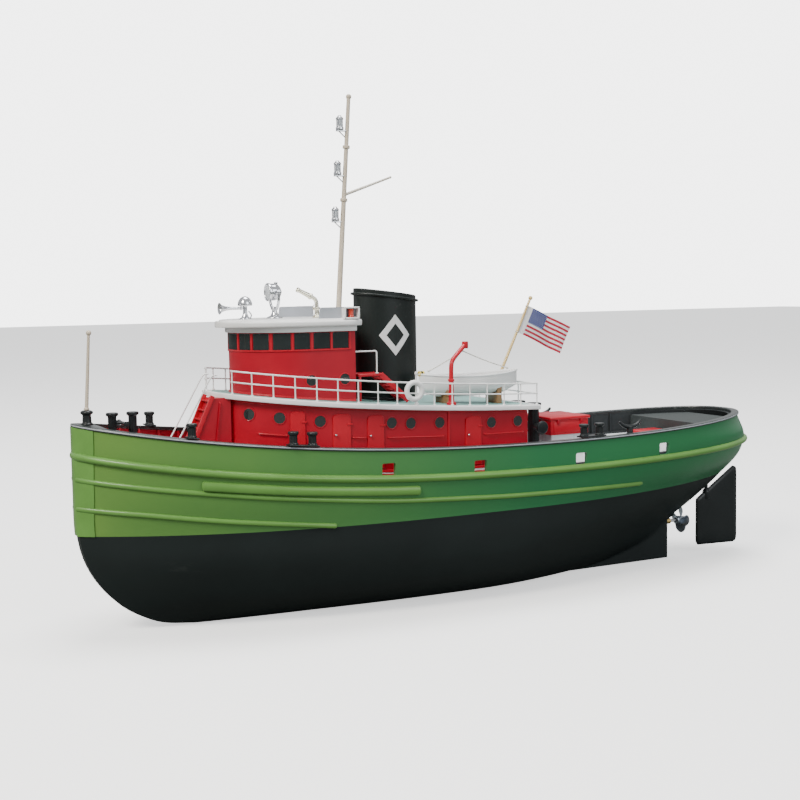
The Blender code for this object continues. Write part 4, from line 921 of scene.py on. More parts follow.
# ---- walls and what is on them ----------------------------------------------------------
class Wall:
    """Upright wall from its port half in plan, nose to aft corner.

    s is the arc from the nose, port positive.
    """

    def __init__(self, x, y):
        arc = np.concatenate([[0], np.cumsum(np.hypot(np.diff(x), np.diff(y)))])
        self.s = np.concatenate([-arc[:0:-1], arc])
        self.x = np.concatenate([x[:0:-1], x])
        self.y = np.concatenate([-y[:0:-1], y])
        self.end = arc[-1]

    def at(self, s, out=0.0):
        """Plan point at arc s, moved out along the normal."""
        s = np.asarray(s, float)
        step = 0.4
        ahead = np.clip(s + step, -self.end, self.end)
        back = np.clip(s - step, -self.end, self.end)
        dx = np.interp(ahead, self.s, self.x) - np.interp(back, self.s, self.x)
        dy = np.interp(ahead, self.s, self.y) - np.interp(back, self.s, self.y)
        length = np.maximum(np.hypot(dx, dy), 1e-9)
        x = np.interp(s, self.s, self.x) + out * dy / length
        y = np.interp(s, self.s, self.y) - out * dx / length
        return x, y

    def arc_at(self, x):
        """Arc of the port side at a station."""
        half = self.s >= 0
        order = np.argsort(self.x[half])
        return float(np.interp(x, self.x[half][order], self.s[half][order]))

    def panel(self, shape, s0, s1, low, high, out=0.5, depth=0.5, crown=0.0, edge=0.25, steps=22, paint=0):
        """Raised curved panel; crown drops its top corners along a superellipse, as on a rounded door."""
        u = np.concatenate([[0.0, 0.004, 0.02], np.linspace(0.05, 0.95, steps), [0.98, 0.996, 1.0]])
        s = s0 + (s1 - s0) * u
        swing = np.abs(2 * u - 1)
        top = (high if np.ndim(high) == 0 else np.interp(u, [0, 1], high)) * np.ones(len(u))
        top = top - crown * (1 - (1 - np.minimum(swing, 1) ** 3.2) ** (1 / 3.2))
        low = (low if np.ndim(low) == 0 else np.interp(u, [0, 1], low)) * np.ones(len(u))
        lip = edge * np.clip((1 - swing) / 0.04, 0, 1) ** 0.5 + 0.02
        rise = np.stack([low, low, low + lip, top - lip, top, top], axis=1)
        face = out - edge + lip
        zero = np.full(len(u), -depth)
        reach = np.stack([zero, out - edge + 0 * lip, face, face, out - edge + 0 * lip, zero], axis=1)
        x, y = self.at(s[:, None] * np.ones(6), reach)
        return shape.skin(np.stack([x, y, rise], axis=-1), paint=paint)

    def loop(self, s, z, radius_s, radius_z, out, sides=40):
        """Closed oval on the wall."""
        angle = ring_angles(sides)
        x, y = self.at(s + radius_s * np.cos(angle), out)
        return np.stack([x, y, z + radius_z * np.sin(angle)], axis=1)

    def disc(self, shape, s, z, radius, out, depth=0.4, paint=0):
        """Thin round plate that follows the wall."""
        shrink = np.array([0.02, 0.5, 0.96, 1.0, 1.0, 0.02])
        reach = np.array([out, out, out, out - 0.1, out - depth, out - depth])
        angle = ring_angles(36)
        x, y = self.at(s + radius * shrink[:, None] * np.cos(angle), reach[:, None] * np.ones(36))
        z = z + radius * shrink[:, None] * np.sin(angle)
        return shape.skin(np.stack([x, y, z], axis=-1), paint=paint)

    def bar(self, shape, s0, s1, z0, z1, out, radius, steps=24):
        """Grab rail that stands off the wall on short legs at its ends."""
        s = np.concatenate([[s0, s0], np.linspace(s0 + 0.6, s1 - 0.6, steps), [s1, s1]])
        reach = np.concatenate([[-0.3, out * 0.7], np.full(steps, out), [out * 0.7, -0.3]])
        x, y = self.at(s, reach)
        return pipe(shape, np.stack([x, y, np.interp(s, [s0, s1], [z0, z1])], axis=1), radius, 8)


def house_half(x_front, x_aft, half, aft_half, power=3.0, end=0.55, count=90, straight=30):
    """Port half of the deckhouse plan: flat side, round front, from the nose aft."""
    x_wide = x_aft + (x_front - x_aft) * 0.45
    x = np.concatenate([stations(x_wide, x_front, count), np.linspace(x_wide, x_aft, straight)[1:]])
    u = np.clip((x - x_wide) / (x_front - x_wide), 0, 1)
    taper = half + (aft_half - half) * np.clip((x_wide - x) / (x_wide - x_aft), 0, 1) ** 2
    return x, taper * (1 - u ** power) ** end


PILOT_AFT = 76.5
WINDOW_LOW, WINDOW_HIGH = 140.9, 149.3


def pilot_plan(outset, visor=0.0, count=110):
    """Port half of the pilothouse plan moved out by outset, its nose by visor more."""
    nose, aft = 134.8 + outset + visor, PILOT_AFT - outset
    half = 28.0 + outset
    mid = aft + (nose - aft) * 0.35
    x = np.concatenate([stations(mid, nose, count), np.linspace(mid, aft, 20)[1:]])
    u = np.clip((x - mid) / (nose - mid), 0, 1)
    return x, half * (1 - u ** 2.3) ** 0.52


def hollow_wall(shape, plan, inner_plan, low, high):
    """Ring of wall between two plans, its foot and top following the deck."""
    outer = both_sides(np.stack([*plan, np.zeros(len(plan[0]))], axis=1))
    inner = both_sides(np.stack([*inner_plan, np.zeros(len(plan[0]))], axis=1))
    rows = []
    for points, heights in ((outer, (low, high)), (inner, (high, low))):
        for height in heights:
            z = height(points[:, 0]) if callable(height) else np.full(len(points), float(height))
            rows.append(np.stack([points[:, 0], points[:, 1], z], axis=1))
    grid = np.stack(rows, axis=1)
    return shape.skin(grid, along=True)


# Plans as front, aft, half breadth amidships and half breadth aft.
HOUSE = (145.5, -23.5, 39.6, 37.5)
BOAT_DECK = (150.0, -29.5, 44.5, 42.0)
UNDER_DECK = 2.6


def house_top(x):
    """Top of the deckhouse wall, just under the boat deck."""
    return boat_deck_height(x) - UNDER_DECK - 0.1


def make_deckhouse():
    """Red deckhouse with raised doors, portholes, grab rails, a base strip and a panel break."""
    plan = house_half(*HOUSE)
    inner = house_half(HOUSE[0] - 1.8, HOUSE[1] + 1.8, HOUSE[2] - 1.8, HOUSE[3] - 1.8)
    house = Shape()
    hollow_wall(house, plan, inner, lambda x: deck_height(x) + 0.1, house_top)
    house.make("deckhouse_walls", CABIN_RED, "cabin", "red_paint", "deckhouse")

    wall = Wall(*plan)
    trim, glass, knobs, rings = Shape(), Shape(), Shape(), Shape()
    doors = ((108.5, 115.7), (85.0, 94.6), (66.5, 75.8), (7.3, 17.3))
    for aft, fore in doors:
        s0, s1 = wall.arc_at(fore), wall.arc_at(aft)
        foot = deck_height((aft + fore) / 2) + 2.2
        top = house_top((aft + fore) / 2) - 3.2
        wall.panel(trim, s0, s1, foot, top, 0.75, 0.4, crown=2.6)
        wall.panel(trim, s0 + 1.5, s1 - 1.5, foot + 2.2, foot + 9.5, 1.0, 0.2, crown=0.6, edge=0.2)
        hinge = s1 - 0.25
        for z in (foot + 3.5, top - 6.0):
            wall.panel(trim, hinge - 1.9, hinge + 0.9, z, z + 0.9, 1.15, 0.6, edge=0.15)
        x, y = wall.at(s0 + 1.3, 1.6)
        ball(knobs, (float(x), float(y), foot + 0.52 * (top - foot) + 3.0), 0.62, 14)
    ports = ((133.8, 108.6), (120.6, 106.7), (101.0, 104.3), (61.8, 101.4), (50.6, 100.5),
             (33.2, 99.8), (0.6, 97.8), (-16.8, 97.5))
    for x, z in ports:
        s = wall.arc_at(x)
        wall.disc(glass, s, z, 3.0, 0.25)
        pipe(rings, wall.loop(s, z, 3.15, 3.15, 0.1), 0.3, 8, closed=True)
    for x0, x1 in ((130.0, 117.5), (84.0, 77.0), (64.0, 31.0), (5.0, -20.0)):
        z0, z1 = deck_height(x0) + 18.6, deck_height(x1) + 18.6
        wall.bar(trim, wall.arc_at(x0), wall.arc_at(x1), z0, z1, 1.1, 0.34)
    s = wall.arc_at(27.7)
    wall.panel(trim, s - 0.5, s + 0.5, deck_height(27.7) + 0.4, house_top(27.7) - 0.2, 0.6, 0.4, edge=0.2)
    step = Shape()
    s = np.linspace(0.01, wall.end - 0.6, 200)
    x, y = wall.at(s)
    foot = np.stack([x, y, deck_height(x)], axis=1)
    band(step, foot, rounded([(-0.5, 0.3), (0.9, 0.3), (0.6, 1.7), (-0.5, 1.7)], 0.3, True), closed=False)
    top = np.stack([x, y, house_top(x)], axis=1)
    band(step, top, rounded([(-0.5, -0.1), (0.7, -0.1), (0.5, -1.1), (-0.5, -1.1)], 0.2, True), closed=False)
    for part in (trim, glass, knobs, step, rings):
        part.mirrored()
    aft_face(trim, HOUSE[1], 12.0, deck_height(HOUSE[1]) + 2.0, 97.8)
    trim.make("deckhouse_doors", TRIM_RED, "cabin", "red_paint", sharp=40)
    glass.make("deckhouse_portlights", GLASS, "cabin", "black_paint")
    knobs.make("deckhouse_knobs", BRIGHT, "cabin", "plated_metal")
    rings.make("deckhouse_port_rings", CABIN_RED, "cabin", "red_paint")
    step.make("deckhouse_edging", TRIM_RED, "cabin", "red_paint")


def aft_face(shape, x, y, low, high, width=9.0):
    """Door with two panels on a flat aft wall."""
    block(shape, (x - 0.9, y - width / 2, low), (x + 0.5, y + width / 2, high), 0.35)
    middle = (low + high) / 2
    for z0, z1 in ((low + 1.6, middle - 0.8), (middle + 0.8, high - 1.6)):
        block(shape, (x - 1.25, y - width / 2 + 1.5, z0), (x - 0.4, y + width / 2 - 1.5, z1), 0.3)
    for z in (low + 3.0, high - 4.0):
        block(shape, (x - 1.35, y - width / 2 - 0.9, z), (x - 0.2, y - width / 2 + 1.4, z + 0.9), 0.2)


def make_boat_deck():
    """White-edged boat deck with a sea green walking surface."""
    x, y = house_half(*BOAT_DECK)
    y = np.maximum(y, 0.4)
    deck = Shape()
    slab(deck, x, y, boat_deck_height(x) - UNDER_DECK, boat_deck_height(x), 0.55)
    deck.make("boat_deck_edge", GLOSS_WHITE, "cabin", "boat_deck_paint", "boat_deck")
    front, aft, half, aft_half = BOAT_DECK
    x, y = house_half(front - 5.0, aft + 4.6, half - 4.6, aft_half - 4.6)
    cover = Shape()
    slab(cover, x, np.maximum(y, 0.4), boat_deck_height(x) - 0.3, boat_deck_height(x) + 0.16, 0.1)
    cover.make("boat_deck_cover", SEA_GREEN, "cabin", "boat_deck_paint")


def make_pilothouse():
    """Round-fronted pilothouse: glazed band under a white visor, portholes, aft door."""
    walls = Shape()
    hollow_wall(walls, pilot_plan(0.0), pilot_plan(-1.8), lambda x: boat_deck_height(x) + 0.1, 149.6)
    walls.make("pilothouse_walls", CABIN_RED, "cabin", "red_paint", "pilothouse")
    wall = Wall(*pilot_plan(0.0))
    glass, trim = Shape(), Shape()
    panes = ((8.6, 15.7), (17.5, 26.0), (28.2, 37.2), (39.1, 47.3), (49.4, 58.5), (60.1, 69.0))
    low, high = WINDOW_LOW, WINDOW_HIGH
    for s0, s1 in panes:
        wall.panel(glass, s0, s1, low, high, 0.18, 0.5, crown=0.35, edge=0.08)
    wall.panel(trim, 7.0, 70.4, low - 1.0, low - 0.15, 0.55, 0.4, edge=0.2, steps=90)
    for s in (7.7, 16.6, 27.1, 38.15, 48.35, 59.3, 69.8):
        wall.panel(trim, s - 0.55, s + 0.55, low - 0.4, high + 0.2, 0.4, 0.4, edge=0.18, steps=6)
    for x in (101.6, 82.8):
        s = wall.arc_at(x)
        wall.disc(glass, s, 124.7, 2.9, 0.25)
        pipe(trim, wall.loop(s, 124.7, 3.05, 3.05, 0.1), 0.3, 8, closed=True)
    s = np.linspace(0.01, wall.end - 0.4, 120)
    x, y = wall.at(s)
    foot = np.stack([x, y, boat_deck_height(x)], axis=1)
    band(trim, foot, rounded([(-0.5, 0.2), (0.8, 0.2), (0.5, 1.3), (-0.5, 1.3)], 0.3, True), closed=False)
    glass.mirrored()
    trim.mirrored()
    wall.panel(glass, -6.6, 6.6, low, high, 0.18, 0.5, crown=0.35, edge=0.08)
    wall.panel(trim, -7.2, 7.2, low - 1.0, low - 0.15, 0.55, 0.4, edge=0.2)
    x_aft = PILOT_AFT
    aft_face(trim, x_aft, 0.0, 114.6, 133.5, 9.6)
    for y in (-17.0, 17.0):
        block(glass, (x_aft - 0.3, y - 5.0, WINDOW_LOW), (x_aft + 0.5, y + 5.0, 148.4), 0.12)
        frame_path = np.array([(x_aft - 0.1, y - 5.3, 140.6), (x_aft - 0.1, y + 5.3, 140.6),
                               (x_aft - 0.1, y + 5.3, 148.7), (x_aft - 0.1, y - 5.3, 148.7)])
        pipe(trim, frame_path, 0.4, 8, soften=0.6, closed=True)
    glass.make("pilothouse_glazing", GLASS, "cabin", "black_paint")
    trim.make("pilothouse_trim", TRIM_RED, "cabin", "red_paint", sharp=40)

    roof = Shape()
    for outset, visor, low, high, edge in ((1.7, 0.0, 149.7, 153.6, 0.4), (5.0, 2.2, 152.4, 155.6, 1.2),
                                           (3.0, 2.0, 154.2, 156.1, 1.0)):
        x, y = pilot_plan(outset, visor)
        corner = np.clip((x - x.min()) / (2.0 * outset), 0, 1)
        y = y - 1.6 * outset * (1 - np.sqrt(np.maximum(1 - (1 - corner) ** 2, 0)))
        rise = 0.3 * np.sqrt(np.clip(1 - ((x - 107.0) / 34.5) ** 2, 0.02, 1)) if low > 154 else 0.0
        slab(roof, x, np.maximum(y, 0.4), low, high + rise, edge, steps=8)
    roof.make("pilothouse_roof_slab", GLOSS_WHITE, "cabin", "white_paint", "pilothouse_roof")


FUNNEL = (45.0, 18.2, 12.5, 169.5)   # middle, half length, half breadth, top
LOZENGE = (146.0, 9.4, 11.2)         # height of its middle, half width, half height


def make_funnel():
    """Oval stack with a moulded lip, an open crown with a smoke pipe, and a plain lozenge each side."""
    middle, a, b, top = FUNNEL
    angle = ring_angles(96)
    outline = np.stack([middle + a * np.cos(angle), b * np.sin(angle), np.zeros(96)], axis=1)
    normals = unit(np.stack([np.cos(angle) / a, np.sin(angle) / b, np.zeros(96)], axis=1))
    crown = top + (outline[:, 0] - middle) * 0.125
    base = boat_deck_height(outline[:, 0]) + 0.1
    rows = [outline + [0, 0, 1] * base[:, None], outline + [0, 0, 1] * (crown - 0.4)[:, None],
            outline - 0.4 * normals + [0, 0, 1] * crown[:, None],
            outline - 1.3 * normals + [0, 0, 1] * crown[:, None],
            outline - 1.6 * normals + [0, 0, 1] * (crown - 0.4)[:, None],
            outline - 1.6 * normals + [0, 0, 1] * base[:, None]]
    stack = Shape()
    stack.skin(np.stack(rows, axis=1), along=True)
    rim_line = outline + [0, 0, 1] * (crown - 2.9)[:, None]
    lip = rounded([(-0.4, -0.8), (1.5, -0.6), (1.5, 0.6), (-0.4, 0.8)], 0.5, True)
    band(stack, rim_line, lip, normals=normals)
    foot = outline + [0, 0, 1] * (base + 0.8)[:, None]
    skirt = rounded([(-0.4, -0.8), (1.2, -0.8), (0.6, 0.8), (-0.4, 0.8)], 0.4, True)
    band(stack, foot, skirt, normals=normals)
    stack.make("funnel_stack", STACK_BLACK, "cabin", "black_paint", "funnel")
    inside = Shape()
    plate = np.linspace(-a + 1.5, a - 1.5, 40)
    slab(inside, middle + plate[::-1], np.maximum((b - 1.5) * np.sqrt(1 - (plate / (a - 1.4)) ** 2), 0.3),
         162.6, 163.4, 0.2)
    for x in (middle - 7.0, middle + 7.0):
        turned(inside, [(0, 0), (2.6, 0), (2.6, 4.2), (3.0, 4.2), (3.0, 5.0), (2.2, 5.0), (2.2, 1.0),
                        (0, 1.0)], (x, 0, 163.0), sides=28)
    inside.make("funnel_inside", STACK_BLACK, "cabin", "black_paint")
    half = angle[(angle >= 0) & (angle <= math.pi)]
    wall = Wall(middle + a * np.cos(half), b * np.sin(half))
    mark = Shape()
    centre = wall.end / 2
    level, width, height = LOZENGE
    for grow, out in ((1.0, 0.14), (0.56, 0.26)):
        for s0, s1, up0, up1 in ((-1, 0, 0, 1), (0, 1, 1, 0)):
            lift = height * grow
            lows = (level - lift * up0, level - lift * up1)
            highs = (level + lift * up0, level + lift * up1)
            wall.panel(mark, centre + width * grow * s0, centre + width * grow * s1, lows, highs, out, 0.3,
                       edge=0.05, paint=0 if grow == 1.0 else 1)
    mark.mirrored()
    mark.make("funnel_lozenge", [LINEN_WHITE, STACK_BLACK], "cabin", "white_paint")


# ---- rails, ladders and boat --------------------------------------------------------------
RAIL_TOP, RAIL_MID = 11.8, 6.2
GATE = {"port": 17.5, "starboard": 0.5}
LADDER_Y = 10.5
STANCHION = [(0, 0.1), (0.85, 0.1), (0.85, 0.4), (0.36, 0.8), (0.36, RAIL_MID - 0.6),
             (0.58, RAIL_MID - 0.4), (0.58, RAIL_MID + 0.4), (0.36, RAIL_MID + 0.6),
             (0.36, RAIL_TOP - 0.7), (0.56, RAIL_TOP - 0.5), (0.45, RAIL_TOP + 0.3), (0, RAIL_TOP + 0.35)]


def make_rails():
    """Two-wire rails with ball stanchions round the boat deck, open at the ladder."""
    for side, sign in (("port", 1), ("starboard", -1)):
        front, aft, half, aft_half = BOAT_DECK
        gate = GATE[side]
        x, y = house_half(front - 1.6, aft + 1.6, half - 1.6, aft_half - 1.6)
        keep = y >= gate
        x, y = np.append(np.interp(gate, y[:80], x[:80]), x[keep]), np.append(gate, y[keep])
        x, y = np.append(x, [x[-1], x[-1]]), np.append(y, [y[-1] * 0.62, y[-1] * 0.06])
        arc = np.concatenate([[0], np.cumsum(np.hypot(np.diff(x), np.diff(y)))])
        rail = Shape()
        run = np.linspace(0, arc[-1], 220)
        px, py = np.interp(run, arc, x), np.interp(run, arc, y) * sign
        for height, size in ((RAIL_TOP - 0.05, 0.43), (RAIL_MID, 0.38)):
            wire = np.stack([px, py, boat_deck_height(px) + height], axis=1)
            pipe(rail, wire, size, 8)
        corner = arc[-3]
        spots = np.append(np.linspace(arc[0] + 0.6, corner, 17), [(corner + arc[-1]) / 2, arc[-1] - 0.6])
        for spot in spots:
            a, b = float(np.interp(spot, arc, x)), float(np.interp(spot, arc, y)) * sign
            foot = float(boat_deck_height(a))
            turned(rail, STANCHION, (a, b, foot), sides=10, soften=0.1)
        rail.make(f"deck_rail_{side}", GLOSS_WHITE, "cabin", "white_paint", f"boat_deck_rail_{side}")


def stringer(shape, foot, head, corners, rings):
    """Straight side of a ladder: a section of (across, along the slope's normal) moved from foot to head."""
    lean = unit(head - foot)
    across = np.cross(lean, [0, 1, 0])
    section = corners[:, :1] * [0, 1, 0] + corners[:, 1:] * across
    run = np.linspace(0, np.linalg.norm(head - foot), rings)
    return shape.skin(np.stack([foot + section + lean * t for t in run]))


def make_front_ladder():
    """Red ladder on a closed sloping trunk, with pale handrails that bend down to the deck."""
    head = np.array([151.2, LADDER_Y, 118.6])
    foot = np.array([166.1, LADDER_Y, deck_height(166.1) + 0.6])
    ladder, rails = Shape(), Shape()
    lean = unit(head - foot)
    corners = rounded([(-0.5, -1.1), (0.5, -1.1), (0.5, 1.1), (-0.5, 1.1)], 0.2, True)
    for y in (-6.0, 6.0):
        stringer(ladder, foot + [0, y, 0], head + [0, y, 0], corners, 12)
    for k in range(7):
        at = foot + (head - foot) * (k + 0.7) / 7.3
        step = np.array([(-1.0, -0.3), (1.0, -0.3), (1.0, 0.3), (-1.0, 0.3)])
        rings = [at + [step_x, y, step_z] for y in (-6.0, 6.0) for step_x, step_z in step]
        ladder.skin(np.array(rings).reshape(2, 4, 3))
    ladder.make("front_ladder_steps", TRIM_RED, "cabin", "red_paint", "front_ladder")
    trunk = Shape()
    top_z = boat_deck_height(150.0) - UNDER_DECK - 0.2
    top_x = foot[0] + lean[0] / lean[2] * (top_z - foot[2]) - 0.9
    back = HOUSE[0] - 4.0
    outline = rounded([(back, foot[2]), (foot[0] - 1.2, foot[2]), (top_x, top_z), (back, top_z)], 0.3, True)
    plate(trunk, outline, LADDER_Y - 5.6, LADDER_Y + 5.6)
    grab = [(150.0, LADDER_Y + 5.4, foot[2] + 8.0), (150.0, LADDER_Y + 6.4, foot[2] + 8.6),
            (147.4, LADDER_Y + 6.4, top_z - 2.6), (147.4, LADDER_Y + 5.4, top_z - 2.0)]
    pipe(trunk, grab, 0.32, 8, soften=0.4)
    trunk.make("ladder_trunk", CABIN_RED, "cabin", "red_paint")
    for y in (-6.7, 6.7):
        path = [head + [-2.4, y, RAIL_TOP - 1.4], head + [0.4, y, RAIL_TOP - 1.4],
                foot + [4.6, y, 10.6], foot + [4.8, y, 0.6]]
        pipe(rails, path, 0.4, 8, soften=3.2)
    rails.make("front_ladder_rails", GLOSS_WHITE, "cabin", "white_paint")


def make_aft_stairs():
    """Red landing and flight beside the funnel, with a pale handrail."""
    stairs, rail = Shape(), Shape()
    block(stairs, (60.5, 14.2, 125.2), (74.5, 27.0, 126.8), 0.3)
    top, low = np.array([61.1, 0, 126.0]), np.array([44.9, 0, 111.4])
    corners = rounded([(-0.5, -1.5), (0.5, -1.5), (0.5, 1.5), (-0.5, 1.5)], 0.2, True)
    for y in (15.4, 26.4):
        stringer(stairs, low + [0, y, 0], top + [0, y, 0], corners, 10)
    for k in range(7):
        at = low + (top - low) * (k + 0.6) / 7.2
        block(stairs, (at[0] - 1.5, 15.5, at[2] - 0.35), (at[0] + 1.5, 26.3, at[2] + 0.35), 0.2)
    for y in (15.4, 26.0):
        leg = boat_deck_height(73.2)
        block(stairs, (72.6, y - 0.6, leg), (73.8, y + 0.6, 125.6), 0.2)
    stairs.make("stair_flight", TRIM_RED, "cabin", "red_paint", "aft_stairs")
    pipe(rail, [(76.4, 26.4, 138.6), (63.4, 26.4, 138.6), (63.4, 26.4, 126.4)], 0.42, 8, 1.2)
    turned(rail, [(0, 0), (0.9, 0), (0.9, 0.5), (0, 0.6)], (63.4, 26.4, 126.7), sides=12)
    rail.make("stair_handrail", GLOSS_WHITE, "cabin", "white_paint")


LIFEBOAT = (6.0, 24.0, 31.0, 10.0)   # middle along X and Y, half length, half breadth


def boat_rings(inset, floor, depths, lift=0.0):
    """Sections of the boat along its length: a superellipse girth under a sheered gunwale."""
    mx, my, half_l, half_b = LIFEBOAT
    t = np.linspace(-1, 1, 61)[:, None]
    d = np.asarray(depths)[None]
    x = mx + (half_l - inset) * t + 0 * d
    b = (half_b - inset) * np.maximum(1 - np.abs(t) ** 2.4, 0) ** 0.8 * (1 - d ** 2.6) ** 0.6 + 0.35 - 0.1 * d
    keel = 112.2 + inset + 4.5 * np.abs(t) ** 4
    gunwale = 123.2 + 1.6 * t ** 2 + lift
    z = gunwale + (keel - gunwale) * d
    if floor is not None:
        z = np.maximum(z, floor)
    return np.stack([x, b, z], axis=-1), my


def make_lifeboat():
    """Open clinker boat on chocks: strakes, gunwale, thwarts, and a painted stem fitting."""
    depths = np.concatenate([np.linspace(0, 0.9, 16), [0.95, 0.97]])
    outer, my = boat_rings(0.0, None, depths)
    lap = 0.16 * (1 - ((depths * 6.5) % 1.0))
    outer[..., 1] = outer[..., 1] + lap * np.clip(outer[..., 1] / 3.0, 0, 1)
    inner, _ = boat_rings(1.0, 114.6, depths)
    section = np.concatenate([outer[:, ::-1], inner], axis=1)
    grid = np.concatenate([section, section[:, ::-1] * ACROSS], axis=1)
    grid[..., 1] += my
    boat = Shape().skin(grid)
    line, _ = boat_rings(-0.1, None, [0.0])
    ring = np.concatenate([line[::-1, 0], line[:, 0] * ACROSS]) + [0, my, 0]
    trim = Shape()
    pipe(trim, ring[::2], 0.55, 8, closed=True)
    mx, _, half_l, half_b = LIFEBOAT
    for at in (-16.0, -3.0, 10.0, 20.0):
        wide = (half_b - 1.0) * (1 - abs(at / half_l) ** 2.4) ** 0.8
        block(trim, (mx + at - 1.6, my - wide, 120.6), (mx + at + 1.6, my + wide, 121.5), 0.2)
    keel_x = np.linspace(mx - half_l * 0.8, mx + half_l * 0.97, 30)
    keel_t = (keel_x - mx) / half_l
    slab(boat, keel_x, 0.45, 111.6 + 4.5 * np.abs(keel_t) ** 4, 113.4 + 4.5 * np.abs(keel_t) ** 4, 0.2, my)
    boat.make("lifeboat_hull", GLOSS_WHITE, "cabin", "white_paint", "lifeboat")
    trim.make("lifeboat_gunwale", LINEN_WHITE, "cabin", "white_paint")
    chocks = Shape()
    for x in (mx - 16, mx + 16):
        block(chocks, (x - 1.5, my - 6.5, boat_deck_height(x) + 0.2), (x + 1.5, my + 6.5, 113.2), 0.3)
        for y in (my - 5.6, my + 5.6):
            block(chocks, (x - 1.5, y - 0.9, 112.0), (x + 1.5, y + 0.9, 116.4), 0.3)
    chocks.make("lifeboat_chocks", CHOCK_WOOD, "cabin", "mast_wood")
    fitting = Shape()
    for k, paint in enumerate((0, 1, 0)):
        x = mx + half_l - 2.4 + 1.0 * k
        turned(fitting, [(0, -0.5), (1.5, -0.5), (1.5, 0.5), (0, 0.5)], (x, my, 125.1), (1, 0, 0), 18, 0.15,
               paint=paint)
    fitting.make("lifeboat_stem_fitting", [YELLOW, GLOSS_BLACK], "cabin", "brass_fitting")
    ring = Shape()
    angle = ring_angles(48)
    circle = np.stack([50.0 + 4.4 * np.cos(angle), np.full(48, 43.2), 117.8 + 4.4 * np.sin(angle)], axis=1)
    pipe(ring, circle, 1.35, 16, closed=True)
    for quarter in range(4):
        near = quarter * math.pi / 2 + 0.78 + np.linspace(-0.14, 0.14, 5)
        arc = np.stack([50.0 + 4.4 * np.cos(near), np.full(5, 43.2), 117.8 + 4.4 * np.sin(near)], axis=1)
        pipe(ring, arc, 1.45, 16, paint=1)
    ring.make("life_ring", [GLOSS_WHITE, LINEN_WHITE], "cabin", "white_paint")


def make_davit():
    """Davit post with a flanged foot and a swan neck, and the boat's falls."""
    x, y = 25.5, 39.0
    foot = boat_deck_height(x) + 0.1
    davit = Shape()
    turned(davit, [(0, 0), (2.6, 0), (2.6, 1.2), (1.7, 1.8), (1.45, 3.0), (1.35, 12.5), (1.7, 12.9),
                   (1.7, 13.9), (0, 14.1)], (x, y, foot), sides=28)
    neck = [(x, y, foot + 12), (x, y, 130.0), (x - 1.4, y - 0.7, 133.0), (x - 12.5, y - 6.5, 140.4)]
    pipe(davit, neck, 1.2, 16, soften=4.0)
    turned(davit, [(0, 0), (1.7, 0), (1.7, 3.8), (0, 3.8)], (x - 12.5, y - 6.5, 138.3), sides=24, soften=0.4)
    davit.make("davit_arm", TRIM_RED, "cabin", "red_paint", "davit")
    hang = np.array([15.0, 32.5, 137.2])
    falls = Shape()
    for end in ((31.0, 24.0, 126.3), (-19.0, 24.0, 126.0)):
        end = np.array(end)
        t = np.linspace(0, 1, 16)[:, None]
        line = hang + (end - hang) * t - np.array([0, 0, 0.5]) * np.sin(math.pi * t)
        pipe(falls, line, 0.32, 8)
        ball(falls, end, 0.7, 12)
    ball(falls, hang, 0.75, 14)
    falls.make("boat_fall_lines", LINE, "cabin", "falls_cord", "boat_falls")
    rest = Shape()
    turned(rest, [(0, 0), (1.2, 0), (1.2, 0.8), (0.55, 1.3), (0.55, 16.0), (0.9, 16.3), (0.7, 17.4),
                  (0, 17.5)], (47.0, 39.6, boat_deck_height(47.0)), sides=16)
    rest.make("boat_deck_post", GLOSS_WHITE, "cabin", "white_paint")


# ---- mast, lamps and roof gear --------------------------------------------------------------
MAST_FOOT, MAST_HEAD = np.array([73.24, 0.0, 156.0]), np.array([64.6, 0.0, 274.0])


